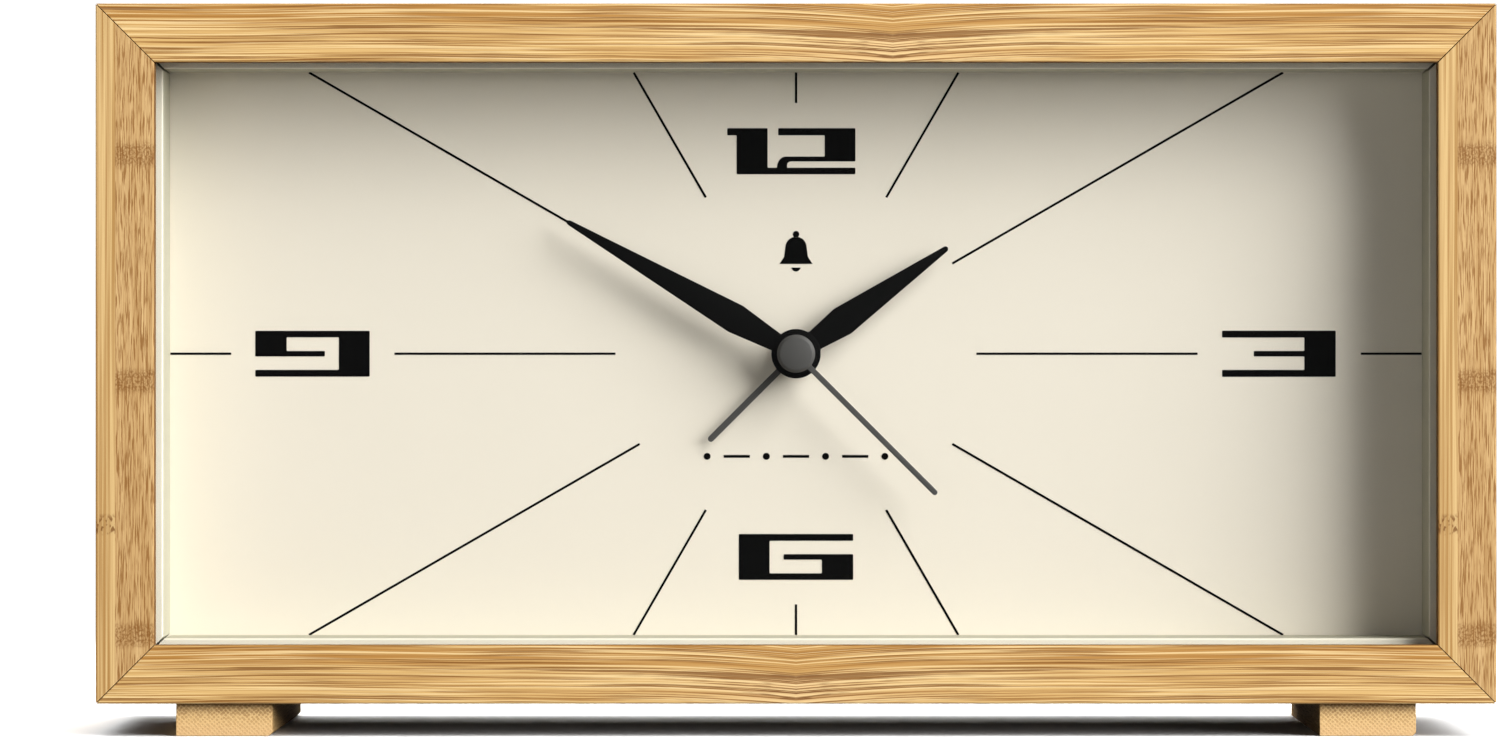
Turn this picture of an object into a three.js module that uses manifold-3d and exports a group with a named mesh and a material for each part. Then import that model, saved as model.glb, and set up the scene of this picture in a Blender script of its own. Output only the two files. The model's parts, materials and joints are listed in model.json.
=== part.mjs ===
// A mantel alarm clock with a mitred bamboo case, a recessed dial and a quartz alarm movement.
// Millimetres, +Z up, the dial faces -Y, the origin is under the middle of the case on its base.
import * as THREE from 'three';
import { mergeVertices } from 'three/addons/utils/BufferGeometryUtils.js';
import Module from 'manifold-3d';

const wasm = await Module();
wasm.setup();

// Case
const GAP = 0.3; // between pieces that touch on the real clock
const CASE_WIDTH = 200;
const CASE_HEIGHT = 100;
const CASE_DEPTH = 54;
const LIP_WIDTH = 8.4; // the frame as seen from the front
const LIP_DEPTH = 2.5;
const BOARD = 6.4; // board thickness behind the lip
const FOOT = { width: 13.8, depth: 50, height: 4.7, inset: 11.3, chamfer: 0.5 };
const GLASS_THICKNESS = 2;
const SPACER_THICKNESS = 2.47;
const DIAL_DEPTH = 15; // from the case's front to the dial's face
const DIAL_THICKNESS = 3;
const PANEL = { front: 20.6, thickness: 2.5, window: 62 };
const BLOCK = { side: 10, front: -8.7, back: 20.3 };
const PANEL_SCREW = { head: 2.8, headHeight: 1.5, shank: 1.2, length: 11 };

const FRONT = -CASE_DEPTH / 2;
const BACK = CASE_DEPTH / 2;
const CENTRE_Z = FOOT.height + CASE_HEIGHT / 2; // the hands' axis
const INNER_WIDTH = CASE_WIDTH - 2 * (BOARD + GAP);
const INNER_HEIGHT = CASE_HEIGHT - 2 * (BOARD + GAP);
const DIAL_FRONT = FRONT + DIAL_DEPTH;
const DIAL_BACK = DIAL_FRONT + DIAL_THICKNESS;

// Movement housing, with x and z from the hands' axis
const WALL = 1.2;
const HOUSING = { left: -28, right: 28, bottom: -33, top: 23, front: -8.7, split: -5, back: 11.3 };
const BAY = { halfLength: 26.8, bottom: -31.6, top: -16.4, floor: -3.8 };
const LUG = { reach: 6, height: 8, thickness: 1.4 };
const LUG_SCREW = { head: 1.9, headHeight: 1, shank: 0.8, length: 3.6, x: HOUSING.right + LUG.reach / 2 };
const PILOT_DEPTH = 2.4; // of the lug screws' holes in the dial
const MIDDLE_PLATE = { left: -15, right: 25.5, bottom: -13, top: 20, front: -1.9, back: -1 };
const LEGS = { x: [-13, 23.5], z: [-11, 18], radius: 1.3 };
const SOUND_HOLES = { radius: 0.8, ring: 3, count: 6 };
const SHAFT_RADIUS = 1;
const ARBOR_RADIUS = 0.4;
const HOLE_CLEARANCE = 0.2;
const RUNNING_CLEARANCE = 0.15; // of a wheel that turns on a post or tube
const BORE_SIDES = 16;
const ROUND_SIDES = 24;
const DOME_STEPS = 4;
const PIVOT_SIDES = 8;
const ARBOR_BACK = 10.7;
const ARBOR_FRONT = -1.6;
const PIVOT_DEPTH = 0.8; // of the arbors' blind holes in the rear housing
const SUNK = 0.4; // how far one shape runs into another that it's joined to

// Tubes that run inside each other through the dial, as bore and outer radius
const TUBES = {
  arbor: { outer: 0.5 },
  minute: { bore: 0.65, outer: 1.05 },
  hour: { bore: 1.2, outer: 1.65 },
  alarm: { bore: 1.8, outer: 2.3 },
  boss: { bore: 2.45, outer: 3 },
};
const BOSS_PROUD = 0.2; // how far the boss stands in front of the dial's face
const DIAL_HOLE_RADIUS = 3.2;

// Gears: teeth, tooth module, and where each disc starts and ends along y
const DISC = 0.9;
const GEARS = {
  alarmWheel: { teeth: 40, module: 0.4, y: -7.1 },
  alarmPinion: { teeth: 8, module: 0.4, y: -7.3, face: 1.3 },
  hourWheel: { teeth: 32, module: 0.3, y: -5 },
  minutePinion: { teeth: 8, module: 0.3, y: -5.3, face: 2.1 },
  minuteWheel: { teeth: 27, module: 1 / 3, y: -3.4 },
  cannonPinion: { teeth: 9, module: 1 / 3, y: -3.6, face: 1.3 },
  setPinion: { teeth: 9, module: 1 / 3, y: -3.6, face: 1.3 },
  centreWheel: { teeth: 64, module: 0.236, y: -0.6 },
  thirdPinion: { teeth: 8, module: 0.236, y: -0.8, face: 1.4 },
  thirdWheel: { teeth: 60, module: 0.25, y: 2.2 },
  secondPinion: { teeth: 8, module: 0.25, y: 1.9, face: 1.5 },
  secondWheel: { teeth: 48, module: 0.3125, y: 4.4 },
  intermediatePinion: { teeth: 8, module: 0.3125, y: 4.1, face: 1.5 },
  intermediateWheel: { teeth: 40, module: 0.25, y: 6.4 },
  rotorPinion: { teeth: 8, module: 0.25, y: 6.1, face: 1.5 },
};
const TOOTH = { addendum: 0.75, dedendum: 1.05, tip: 0.14, root: 0.44 }; // parts of module and pitch
const ANGLE = { minute: 20, alarm: 155, third: 90, intermediate: 300, rotor: -10 }; // degrees from +X
const SECOND_HUB_RADIUS = 1.3;
const MAGNET = { radius: 2, front: 1.2, back: 3.2 };
const KNOB = { radius: 5.6, ridges: 18, ridge: 0.35, front: 12, back: 16.8 };
const SHAFT_BACK = 15.4;

// Hands: clock angle in degrees, length and how far each stands in front of the dial's face
const HAND_THICKNESS = 0.4;
const HAND_CLEARANCE = 0.1; // between a hand's bore and its tube
const HUB_SIDES = 32;
const HUB_RADIUS = 3.575;
const HANDS = {
  alarm: { angle: 225, length: 17.9, width: 0.9, hub: 3.3, lift: 1.2 },
  hour: { angle: 55, length: 26.8, neck: 1.47, belly: 2.15, bellyAt: 8.2, tip: 0.42, lift: 2.6 },
  minute: { angle: 300, length: 38.2, neck: 1.35, belly: 2.16, bellyAt: 10.1, tip: 0.37, lift: 4 },
  second: { angle: 135, length: 28.7, width: 0.82, hub: 2.2, lift: 5.4 },
};
const NECK_AT = 2.6;
const TUBE_PROUD = 0.3; // how far a hand's tube stands in front of the hand
const CAP = { radius: 2.75, thickness: 1, bevel: 0.35 };

// Magnetic circuit, electronics and battery
const STATOR = { front: 1.8, back: 2.6, holeRadius: 2.5 };
const YOKE_OUTLINE = [
  [6.8, -13.6], [24.4, -13.6], [24.4, -10.2], [14, -10.2], [14, -8.4], [17, -8.4],
  [17, 9], [24.4, 9], [24.4, 12], [14.2, 12], [14.2, -5.2], [6.8, -5.2],
];
const COIL = { x: 21, y: 3.3, bottom: -8.5, top: 7.5, cheek: 0.8 };
const COIL_RADII = { flange: 3.9, winding: 3.5, tube: 2.1, bore: 1.75 };
const CORE = { halfWidth: 1.4, halfThickness: 0.4, bottom: -13.4, top: 11.8 };
const BOARD_PLATE = { left: -26, right: -12.4, bottom: -14.4, top: 5.6, front: 6.4, back: 7.4 };
const CHIP = { x: -18, z: -3, radius: 3, height: 1.1 };
const CRYSTAL = { x: -19, z: -10, radius: 1, length: 6 };
const BUZZER = { x: -19.5, z: 13.5, radius: 6, front: 1.5, back: 9.6 };
const ALARM_LEAF = { left: -20, right: -4, foot: -7.2, back: -5.45, thickness: 0.3, bottom: 5.6, width: 1.8 };
const CELL = { radius: 7.25, length: 49, nub: 1.3, nubRadius: 2.7, offset: -0.4 };
const CONTACT = { half: 4, thickness: 0.4, bow: 0.9, bowHalf: 1 };
const SWITCH = { x: 14, z: 17, travel: 4, slotMargin: 1.5, slotHalf: 1.3 };
const SWITCH_PLATE = { halfWidth: 4.6, halfHeight: 2.4, thickness: 0.6 };
const SWITCH_POST = { halfWidth: 1.2, halfHeight: 1 };
const SWITCH_THUMB = { halfWidth: 2.2, halfHeight: 1.8, start: 0.5, end: 2.3 };

const BAMBOO = { color: 0xd5ac76, roughness: 0.55, metalness: 0 };
const CREAM = { color: 0xe8e4d0, roughness: 0.8, metalness: 0 };
const BLACK_PLASTIC = { color: 0x1b1b1c, roughness: 0.5, metalness: 0 };
const BLACK_METAL = { color: 0x0c0c0c, roughness: 0.45, metalness: 0.3 };
const GREY_METAL = { color: 0x4b4b4b, roughness: 0.4, metalness: 0.5 };
const WHITE_PLASTIC = { color: 0xe6e4dc, roughness: 0.5, metalness: 0 };
const STEEL = { color: 0xa8abae, roughness: 0.35, metalness: 1 };
const BRASS = { color: 0xc9a24a, roughness: 0.35, metalness: 1 };
const COPPER = { color: 0xa8542a, roughness: 0.4, metalness: 1 };
const GLASS = { color: 0xe4efe8, roughness: 0.05, metalness: 0, transparent: true, opacity: 0.2 };
const GREEN_BOARD = { color: 0x2f6a3d, roughness: 0.6, metalness: 0 };
const CELL_JACKET = { color: 0x3c5a78, roughness: 0.4, metalness: 0.2 };

const clock = new THREE.Group();
const movement = new THREE.Group();
movement.position.set(0, 0, CENTRE_Z);
clock.add(movement);

// Geometry helpers

function place(parent, name, geometry, finish, angle = 0) {
  const mesh = new THREE.Mesh(geometry, new THREE.MeshStandardMaterial(finish));
  mesh.name = name;
  mesh.rotation.y = THREE.MathUtils.degToRad(angle);
  parent.add(mesh);
  return mesh;
}

function outline(points) {
  return new THREE.Shape(points.map(([x, z]) => new THREE.Vector2(x, z)));
}

// An outline in x and z, given thickness from y = front to y = back.
function slab(points, front, back) {
  const geometry = new THREE.ExtrudeGeometry(outline(points), { depth: back - front, bevelEnabled: false });
  geometry.rotateX(Math.PI / 2);
  return geometry.translate(0, back, 0);
}

function rectangle(left, right, bottom, top) {
  return [[left, bottom], [right, bottom], [right, top], [left, top]];
}

function box(left, right, front, back, bottom, top) {
  return slab(rectangle(left, right, bottom, top), front, back);
}

function circle(radius, sides, x = 0, z = 0) {
  const points = [];
  for (let i = 0; i < sides; i += 1) {
    const angle = (2 * Math.PI * i) / sides;
    points.push([x + radius * Math.cos(angle), z + radius * Math.sin(angle)]);
  }
  return points;
}

function disc(radius, front, back, sides = BORE_SIDES, x = 0, z = 0) {
  return slab(circle(radius, sides, x, z), front, back);
}

// A turned piece along y from a profile of [radius, y] points.
function turned(profile, sides = BORE_SIDES) {
  return new THREE.LatheGeometry(profile.map(([r, y]) => new THREE.Vector2(r, y)), sides);
}

function polar(radius, degrees, from = [0, 0]) {
  const angle = THREE.MathUtils.degToRad(degrees);
  return [from[0] + radius * Math.cos(angle), from[1] + radius * Math.sin(angle)];
}

function toSolid(geometry) {
  const bare = geometry.clone();
  bare.deleteAttribute('normal');
  bare.deleteAttribute('uv');
  const merged = mergeVertices(bare, 1e-5);
  return new wasm.Manifold(new wasm.Mesh({
    numProp: 3,
    vertProperties: new Float32Array(merged.attributes.position.array),
    triVerts: new Uint32Array(merged.index.array),
  }));
}

function toGeometry(solid) {
  const mesh = solid.getMesh();
  const geometry = new THREE.BufferGeometry();
  geometry.setAttribute('position', new THREE.BufferAttribute(mesh.vertProperties, 3));
  geometry.setIndex(new THREE.BufferAttribute(mesh.triVerts, 1));
  geometry.computeVertexNormals();
  return geometry;
}

function carve(added, removed = []) {
  let solid = toSolid(added[0]);
  for (const geometry of added.slice(1)) solid = solid.add(toSolid(geometry));
  for (const geometry of removed) solid = solid.subtract(toSolid(geometry));
  return toGeometry(solid);
}

// Gear helpers

function gearOutline({ teeth, module }, phase, x, z) {
  const pitchRadius = (teeth * module) / 2;
  const root = pitchRadius - TOOTH.dedendum * module;
  const tip = pitchRadius + TOOTH.addendum * module;
  const pitch = (2 * Math.PI) / teeth;
  const corners = [
    [root, -TOOTH.root / 2], [tip, -TOOTH.tip / 2], [tip, TOOTH.tip / 2], [root, TOOTH.root / 2],
  ];
  const points = [];
  for (let i = 0; i < teeth; i += 1) {
    for (const [radius, offset] of corners) {
      const angle = phase + (i + offset) * pitch;
      points.push([x + radius * Math.cos(angle), z + radius * Math.sin(angle)]);
    }
  }
  return points;
}

function gear(spec, phase = 0, [x, z] = [0, 0]) {
  return slab(gearOutline(spec, phase, x, z), spec.y, spec.y + (spec.face ?? DISC));
}

function reach(a, b) {
  return ((a.teeth + b.teeth) * a.module) / 2;
}

// The phase that puts a follower's gap on a driver's tooth, with the follower at an angle from it.
function meshPhase(driver, driverPhase, degrees, follower) {
  const angle = THREE.MathUtils.degToRad(degrees);
  const turns = ((angle - driverPhase) * driver.teeth) / (2 * Math.PI);
  return angle + Math.PI + ((turns + 0.5) * 2 * Math.PI) / follower.teeth;
}

const minuteAt = polar(reach(GEARS.cannonPinion, GEARS.minuteWheel), ANGLE.minute);
const setAt = polar(reach(GEARS.minuteWheel, GEARS.setPinion), ANGLE.minute, minuteAt);
const alarmAt = polar(reach(GEARS.alarmWheel, GEARS.alarmPinion), ANGLE.alarm);
const thirdAt = polar(reach(GEARS.centreWheel, GEARS.thirdPinion), ANGLE.third);
const intermediateAt = polar(reach(GEARS.secondWheel, GEARS.intermediatePinion), ANGLE.intermediate);
const rotorReach = reach(GEARS.intermediateWheel, GEARS.rotorPinion);
const rotorAt = polar(rotorReach, ANGLE.rotor, intermediateAt);

// Case

// A strip lying along x under z = 0, with both ends mitred.
function mitredStrip(length, thickness, front, back) {
  const end = length / 2 - GAP / Math.SQRT2;
  const inner = end - thickness;
  return slab([[-end, 0], [-inner, -thickness], [inner, -thickness], [end, 0]], front, back);
}

function placeFrame(kind, width, height, strip, finish) {
  const sides = [['top', 0, width], ['right', 90, height], ['bottom', 180, width], ['left', 270, height]];
  for (const [side, angle, length] of sides) {
    const mesh = place(clock, `${kind}_${side}`, strip(length), finish, angle);
    const distance = (width + height - length) / 2;
    const [x, z] = polar(distance, 90 - angle, [0, CENTRE_Z]);
    mesh.position.set(x, 0, z);
  }
}

function caseBoard(length) {
  const lip = mitredStrip(length, LIP_WIDTH, FRONT, FRONT + LIP_DEPTH);
  return carve([mitredStrip(length, BOARD, FRONT, BACK), lip]);
}

function makeCase() {
  placeFrame('case', CASE_WIDTH, CASE_HEIGHT, caseBoard, BAMBOO);
  const glassFront = FRONT + LIP_DEPTH + GAP;
  const glassBack = glassFront + GLASS_THICKNESS;
  const halfWidth = INNER_WIDTH / 2;
  const halfHeight = INNER_HEIGHT / 2;
  const glass = box(-halfWidth, halfWidth, glassFront, glassBack, -halfHeight, halfHeight);
  place(clock, 'glass_lens', glass.translate(0, 0, CENTRE_Z), GLASS);
  const spacer = (length) => mitredStrip(length, SPACER_THICKNESS, glassBack + GAP, DIAL_FRONT - GAP);
  placeFrame('spacer', INNER_WIDTH, INNER_HEIGHT, spacer, CREAM);
}

// Both feet are cut the same way round, with the small chamfer low on the +x side.
function makeFeet() {
  const { width, depth, height, inset, chamfer } = FOOT;
  const top = height - GAP;
  const foot = (left) => {
    const right = left + width;
    const outline = [[left, 0], [right - chamfer, 0], [right, chamfer], [right, top], [left, top]];
    return slab(outline, -depth / 2, depth / 2);
  };
  const outer = CASE_WIDTH / 2 - inset;
  place(clock, 'foot_right', foot(outer - width), BAMBOO);
  place(clock, 'foot_left', foot(-outer), BAMBOO);
}

// A screw along y with its head at the back, its underside at y = 0.
function screw({ head, headHeight, shank, length }) {
  const rim = headHeight / 3;
  return turned([
    [0, -length], [shank, -length], [shank, 0], [head, 0],
    [head, headHeight - rim], [head - rim, headHeight], [0, headHeight],
  ]);
}

function makeDial() {
  const width = INNER_WIDTH / 2;
  const height = INNER_HEIGHT / 2;
  const plate = box(-width, width, DIAL_FRONT, DIAL_BACK, -height, height);
  const holes = [disc(DIAL_HOLE_RADIUS, DIAL_FRONT - 1, DIAL_BACK + 1)];
  for (const side of [-1, 1]) {
    const radius = LUG_SCREW.shank + HOLE_CLEARANCE;
    holes.push(disc(radius, DIAL_BACK - PILOT_DEPTH, DIAL_BACK + 1, BORE_SIDES, side * LUG_SCREW.x));
    const fixing = place(movement, `movement_screw_${side < 0 ? 'left' : 'right'}`, screw(LUG_SCREW), STEEL);
    fixing.position.set(side * LUG_SCREW.x, HOUSING.front + LUG.thickness + GAP, 0);
  }
  place(movement, 'dial_plate', carve([plate], holes), CREAM);
}

function makeBackPanel() {
  const { front, thickness, window } = PANEL;
  const back = front + thickness;
  const width = INNER_WIDTH / 2;
  const height = INNER_HEIGHT / 2;
  const middle = (HOUSING.bottom + HOUSING.top) / 2;
  const half = window / 2;
  const holes = [box(-half, half, front - 1, back + 1, middle - half, middle + half)];
  const cornerX = width - BLOCK.side / 2;
  const cornerZ = height - BLOCK.side / 2;
  const holeRadius = PANEL_SCREW.shank + HOLE_CLEARANCE;
  for (const [name, sideX, sideZ] of [['1', -1, 1], ['2', 1, 1], ['3', -1, -1], ['4', 1, -1]]) {
    const x = sideX * cornerX;
    const z = sideZ * cornerZ;
    holes.push(disc(holeRadius, front - 1, back + 1, BORE_SIDES, x, z));
    const side = BLOCK.side / 2;
    const block = box(-side, side, BLOCK.front, BLOCK.back, -side, side);
    const pilot = disc(holeRadius, BLOCK.back - PANEL_SCREW.length, BLOCK.back + 1);
    place(movement, `corner_block_${name}`, carve([block], [pilot]), BAMBOO).position.set(x, 0, z);
    place(movement, `panel_screw_${name}`, screw(PANEL_SCREW), STEEL).position.set(x, back + GAP, z);
  }
  const sheet = box(-width, width, front, back, -height, height);
  place(movement, 'back_panel', carve([sheet], holes), BLACK_PLASTIC);
}

// Movement housing

function makeFrontHousing() {
  const { left, right, bottom, top, front, split } = HOUSING;
  const shell = box(left, right, front, split, bottom, top);
  const half = LUG.height / 2;
  const lugs = box(left - LUG.reach, right + LUG.reach, front, front + LUG.thickness, -half, half);
  const boss = disc(TUBES.boss.outer, DIAL_FRONT - BOSS_PROUD, front + WALL);
  const removed = [
    box(left + WALL, right - WALL, front + WALL, split + 1, bottom + WALL, top - WALL),
    disc(TUBES.boss.bore, DIAL_FRONT - 1, front + WALL + 1),
  ];
  for (const [x, z] of [setAt, alarmAt]) {
    removed.push(disc(SHAFT_RADIUS + HOLE_CLEARANCE, front - 1, front + WALL + 1, BORE_SIDES, x, z));
  }
  for (const side of [-1, 1]) {
    const radius = LUG_SCREW.shank + HOLE_CLEARANCE;
    removed.push(disc(radius, front - 1, front + LUG.thickness + 1, BORE_SIDES, side * LUG_SCREW.x));
  }
  place(movement, 'movement_front_housing', carve([shell, lugs, boss], removed), BLACK_PLASTIC);
}

function makeRearHousing() {
  const { left, right, bottom, top, split, back } = HOUSING;
  const front = split + GAP;
  const inside = back - WALL;
  const removed = [
    box(left + WALL, right - WALL, front - 1, inside, BAY.top + WALL, top - WALL),
    box(-BAY.halfLength, BAY.halfLength, BAY.floor, back + 1, BAY.bottom, BAY.top),
  ];
  for (const [x, z] of [setAt, alarmAt]) {
    removed.push(disc(SHAFT_RADIUS + HOLE_CLEARANCE, inside - 1, back + 1, BORE_SIDES, x, z));
  }
  for (const [x, z] of [[0, 0], thirdAt, intermediateAt, rotorAt]) {
    const radius = TUBES.arbor.outer + HOLE_CLEARANCE;
    removed.push(disc(radius, inside - 1, inside + PIVOT_DEPTH, PIVOT_SIDES, x, z));
  }
  const buzzerAt = [BUZZER.x, BUZZER.z];
  const soundHoles = [buzzerAt];
  for (let i = 0; i < SOUND_HOLES.count; i += 1) {
    soundHoles.push(polar(SOUND_HOLES.ring, (360 * i) / SOUND_HOLES.count, buzzerAt));
  }
  for (const [x, z] of soundHoles) {
    removed.push(disc(SOUND_HOLES.radius, inside - 1, back + 1, PIVOT_SIDES, x, z));
  }
  const slotLeft = SWITCH.x - SWITCH.slotMargin;
  const slotRight = SWITCH.x + SWITCH.travel + SWITCH.slotMargin;
  const slotBottom = SWITCH.z - SWITCH.slotHalf;
  const slotTop = SWITCH.z + SWITCH.slotHalf;
  removed.push(box(slotLeft, slotRight, inside - 1, back + 1, slotBottom, slotTop));
  const shell = carve([box(left, right, front, back, bottom, top)], removed);
  place(movement, 'movement_rear_housing', shell, BLACK_PLASTIC);
}

// A plate behind the hands' gears, on four legs, with the post that the minute wheel turns on.
function makeMiddlePlate() {
  const { left, right, bottom, top, front, back } = MIDDLE_PLATE;
  const added = [box(left, right, front, back, bottom, top)];
  const legFront = HOUSING.front + WALL + GAP;
  for (const x of LEGS.x) {
    for (const z of LEGS.z) added.push(disc(LEGS.radius, legFront, front + SUNK, PIVOT_SIDES, x, z));
  }
  added.push(disc(ARBOR_RADIUS, GEARS.minutePinion.y - GAP, front + SUNK, PIVOT_SIDES, ...minuteAt));
  const removed = [disc(TUBES.minute.outer + 2 * HOLE_CLEARANCE, front - 1, back + 1)];
  for (const [x, z] of [setAt, alarmAt]) {
    removed.push(disc(SHAFT_RADIUS + 2 * HOLE_CLEARANCE, front - 1, back + 1, BORE_SIDES, x, z));
  }
  for (const [x, z] of [thirdAt, intermediateAt, rotorAt]) {
    removed.push(disc(ARBOR_RADIUS + HOLE_CLEARANCE, front - 1, back + 1, PIVOT_SIDES, x, z));
  }
  place(movement, 'middle_plate', carve(added, removed), WHITE_PLASTIC);
}

// Gear train

function arbor([x, z], front = ARBOR_FRONT, back = ARBOR_BACK, radius = ARBOR_RADIUS, sides = PIVOT_SIDES) {
  return disc(radius, front, back, sides, x, z);
}

function makeSecondsTrain() {
  const { centreWheel, thirdPinion, thirdWheel, secondPinion, secondWheel } = GEARS;
  const { intermediatePinion, intermediateWheel, rotorPinion } = GEARS;
  const handEnd = DIAL_FRONT - HANDS.second.lift - HAND_THICKNESS;
  const second = carve([
    gear(secondWheel),
    gear(secondPinion),
    disc(SECOND_HUB_RADIUS, secondPinion.y + secondPinion.face - 0.1, secondWheel.y + SUNK),
    arbor([0, 0], handEnd, ARBOR_BACK, TUBES.arbor.outer, BORE_SIDES),
  ]);
  place(movement, 'second_wheel', second, BRASS);
  const thirdPhase = meshPhase(secondPinion, 0, ANGLE.third, thirdWheel);
  const thirdPinionPhase = meshPhase(centreWheel, 0, ANGLE.third, thirdPinion);
  const third = [
    gear(thirdWheel, thirdPhase, thirdAt),
    gear(thirdPinion, thirdPinionPhase, thirdAt),
    arbor(thirdAt),
  ];
  place(movement, 'third_wheel', carve(third), WHITE_PLASTIC);
  const centreRadius = TUBES.minute.outer + RUNNING_CLEARANCE;
  const centreBore = disc(centreRadius, centreWheel.y - 1, centreWheel.y + DISC + 1);
  const centre = carve([gear(centreWheel)], [centreBore]);
  place(movement, 'centre_wheel', centre, BRASS);
  const pinionPhase = meshPhase(secondWheel, 0, ANGLE.intermediate, intermediatePinion);
  const intermediate = [
    gear(intermediateWheel, 0, intermediateAt),
    gear(intermediatePinion, pinionPhase, intermediateAt),
    arbor(intermediateAt),
  ];
  place(movement, 'intermediate_wheel', carve(intermediate), WHITE_PLASTIC);
  const rotorPhase = meshPhase(intermediateWheel, 0, ANGLE.rotor, rotorPinion);
  const magnet = disc(MAGNET.radius, MAGNET.front, MAGNET.back, BORE_SIDES, ...rotorAt);
  const rotor = carve([gear(rotorPinion, rotorPhase, rotorAt), magnet, arbor(rotorAt)]);
  place(movement, 'rotor', rotor, STEEL);
}

// The end of a hand's tube, just in front of the hand.
function tubeEnd(hand) {
  return DIAL_FRONT - hand.lift - HAND_THICKNESS - TUBE_PROUD;
}

function makeMotionWork() {
  const { cannonPinion, minuteWheel, minutePinion, hourWheel, setPinion, alarmWheel, alarmPinion } = GEARS;
  const cannonBack = GEARS.centreWheel.y + DISC + 0.5;
  const cannon = carve(
    [gear(cannonPinion), disc(TUBES.minute.outer, tubeEnd(HANDS.minute), cannonBack)],
    [disc(TUBES.minute.bore, FRONT, cannonBack + 1)],
  );
  place(movement, 'cannon_pinion', cannon, BRASS);
  const minutePhase = meshPhase(cannonPinion, 0, ANGLE.minute, minuteWheel);
  const minutePinionPhase = meshPhase(hourWheel, 0, ANGLE.minute, minutePinion);
  const postRadius = ARBOR_RADIUS + RUNNING_CLEARANCE;
  const minute = carve(
    [gear(minuteWheel, minutePhase, minuteAt), gear(minutePinion, minutePinionPhase, minuteAt)],
    [arbor(minuteAt, minutePinion.y - 1, minuteWheel.y + DISC + 1, postRadius)],
  );
  place(movement, 'minute_wheel', minute, WHITE_PLASTIC);
  const hour = carve(
    [gear(hourWheel), disc(TUBES.hour.outer, tubeEnd(HANDS.hour), hourWheel.y + DISC)],
    [disc(TUBES.hour.bore, FRONT, 0)],
  );
  place(movement, 'hour_wheel', hour, WHITE_PLASTIC);
  const alarm = carve(
    [gear(alarmWheel), disc(TUBES.alarm.outer, tubeEnd(HANDS.alarm), alarmWheel.y + DISC)],
    [disc(TUBES.alarm.bore, FRONT, 0)],
  );
  place(movement, 'alarm_wheel', alarm, WHITE_PLASTIC);
  const setPhase = meshPhase(minuteWheel, minutePhase, ANGLE.minute, setPinion);
  makeSetting('time_set', setAt, gear(setPinion, setPhase, setAt));
  const alarmPhase = meshPhase(alarmWheel, 0, ANGLE.alarm, alarmPinion);
  makeSetting('alarm_set', alarmAt, gear(alarmPinion, alarmPhase, alarmAt));
}

function makeSetting(name, at, pinion) {
  const shaft = arbor(at, HOUSING.front + SUNK, SHAFT_BACK, SHAFT_RADIUS, BORE_SIDES);
  place(movement, `${name}_shaft`, carve([pinion, shaft]), WHITE_PLASTIC);
  const rim = [];
  for (let i = 0; i < 2 * KNOB.ridges; i += 1) {
    rim.push(polar(KNOB.radius - (i % 2) * KNOB.ridge, (180 * i) / KNOB.ridges));
  }
  const bore = disc(SHAFT_RADIUS + HOLE_CLEARANCE, KNOB.front - 1, SHAFT_BACK + GAP);
  const knob = carve([slab(rim, KNOB.front, KNOB.back)], [bore]);
  place(movement, `${name}_knob`, knob, BLACK_PLASTIC).position.set(at[0], 0, at[1]);
}

// Hands, drawn pointing at 12 and turned to their clock angle

function placeHand(name, hand, blade, hubRadius, tubeRadius, finish) {
  const front = DIAL_FRONT - hand.lift - HAND_THICKNESS;
  const back = front + HAND_THICKNESS;
  const hub = disc(hubRadius, front, back, HUB_SIDES);
  const bore = disc(tubeRadius + HAND_CLEARANCE, front - 1, back + 1);
  place(movement, name, carve([slab(blade, front, back), hub], [bore]), finish, hand.angle);
}

function roundTip(radius, length, steps = 6) {
  const points = [];
  for (let i = 0; i <= steps; i += 1) points.push(polar(radius, (180 * i) / steps, [0, length - radius]));
  return points;
}

function leafBlade({ neck, belly, bellyAt, tip, length }) {
  return [[-belly, bellyAt], [-neck, NECK_AT], [neck, NECK_AT], [belly, bellyAt], ...roundTip(tip, length)];
}

function barBlade({ width, length }) {
  const half = width / 2;
  return [[-half, NECK_AT / 2], [half, NECK_AT / 2], ...roundTip(half, length)];
}

function makeHands() {
  const { alarm, hour, minute, second } = HANDS;
  placeHand('alarm_hand', alarm, barBlade(alarm), alarm.hub, TUBES.alarm.outer, GREY_METAL);
  placeHand('hour_hand', hour, leafBlade(hour), HUB_RADIUS, TUBES.hour.outer, BLACK_METAL);
  placeHand('minute_hand', minute, leafBlade(minute), HUB_RADIUS, TUBES.minute.outer, BLACK_METAL);
  placeHand('second_hand', second, barBlade(second), second.hub, TUBES.arbor.outer, GREY_METAL);
  const { radius, thickness, bevel } = CAP;
  const back = DIAL_FRONT - second.lift - HAND_THICKNESS - GAP;
  const front = back - thickness;
  const profile = [[0, front], [radius - bevel, front], [radius, front + bevel], [radius, back], [0, back]];
  place(movement, 'second_hand_cap', turned(profile, HUB_SIDES), GREY_METAL);
}

// Magnetic circuit, electronics and battery

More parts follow.
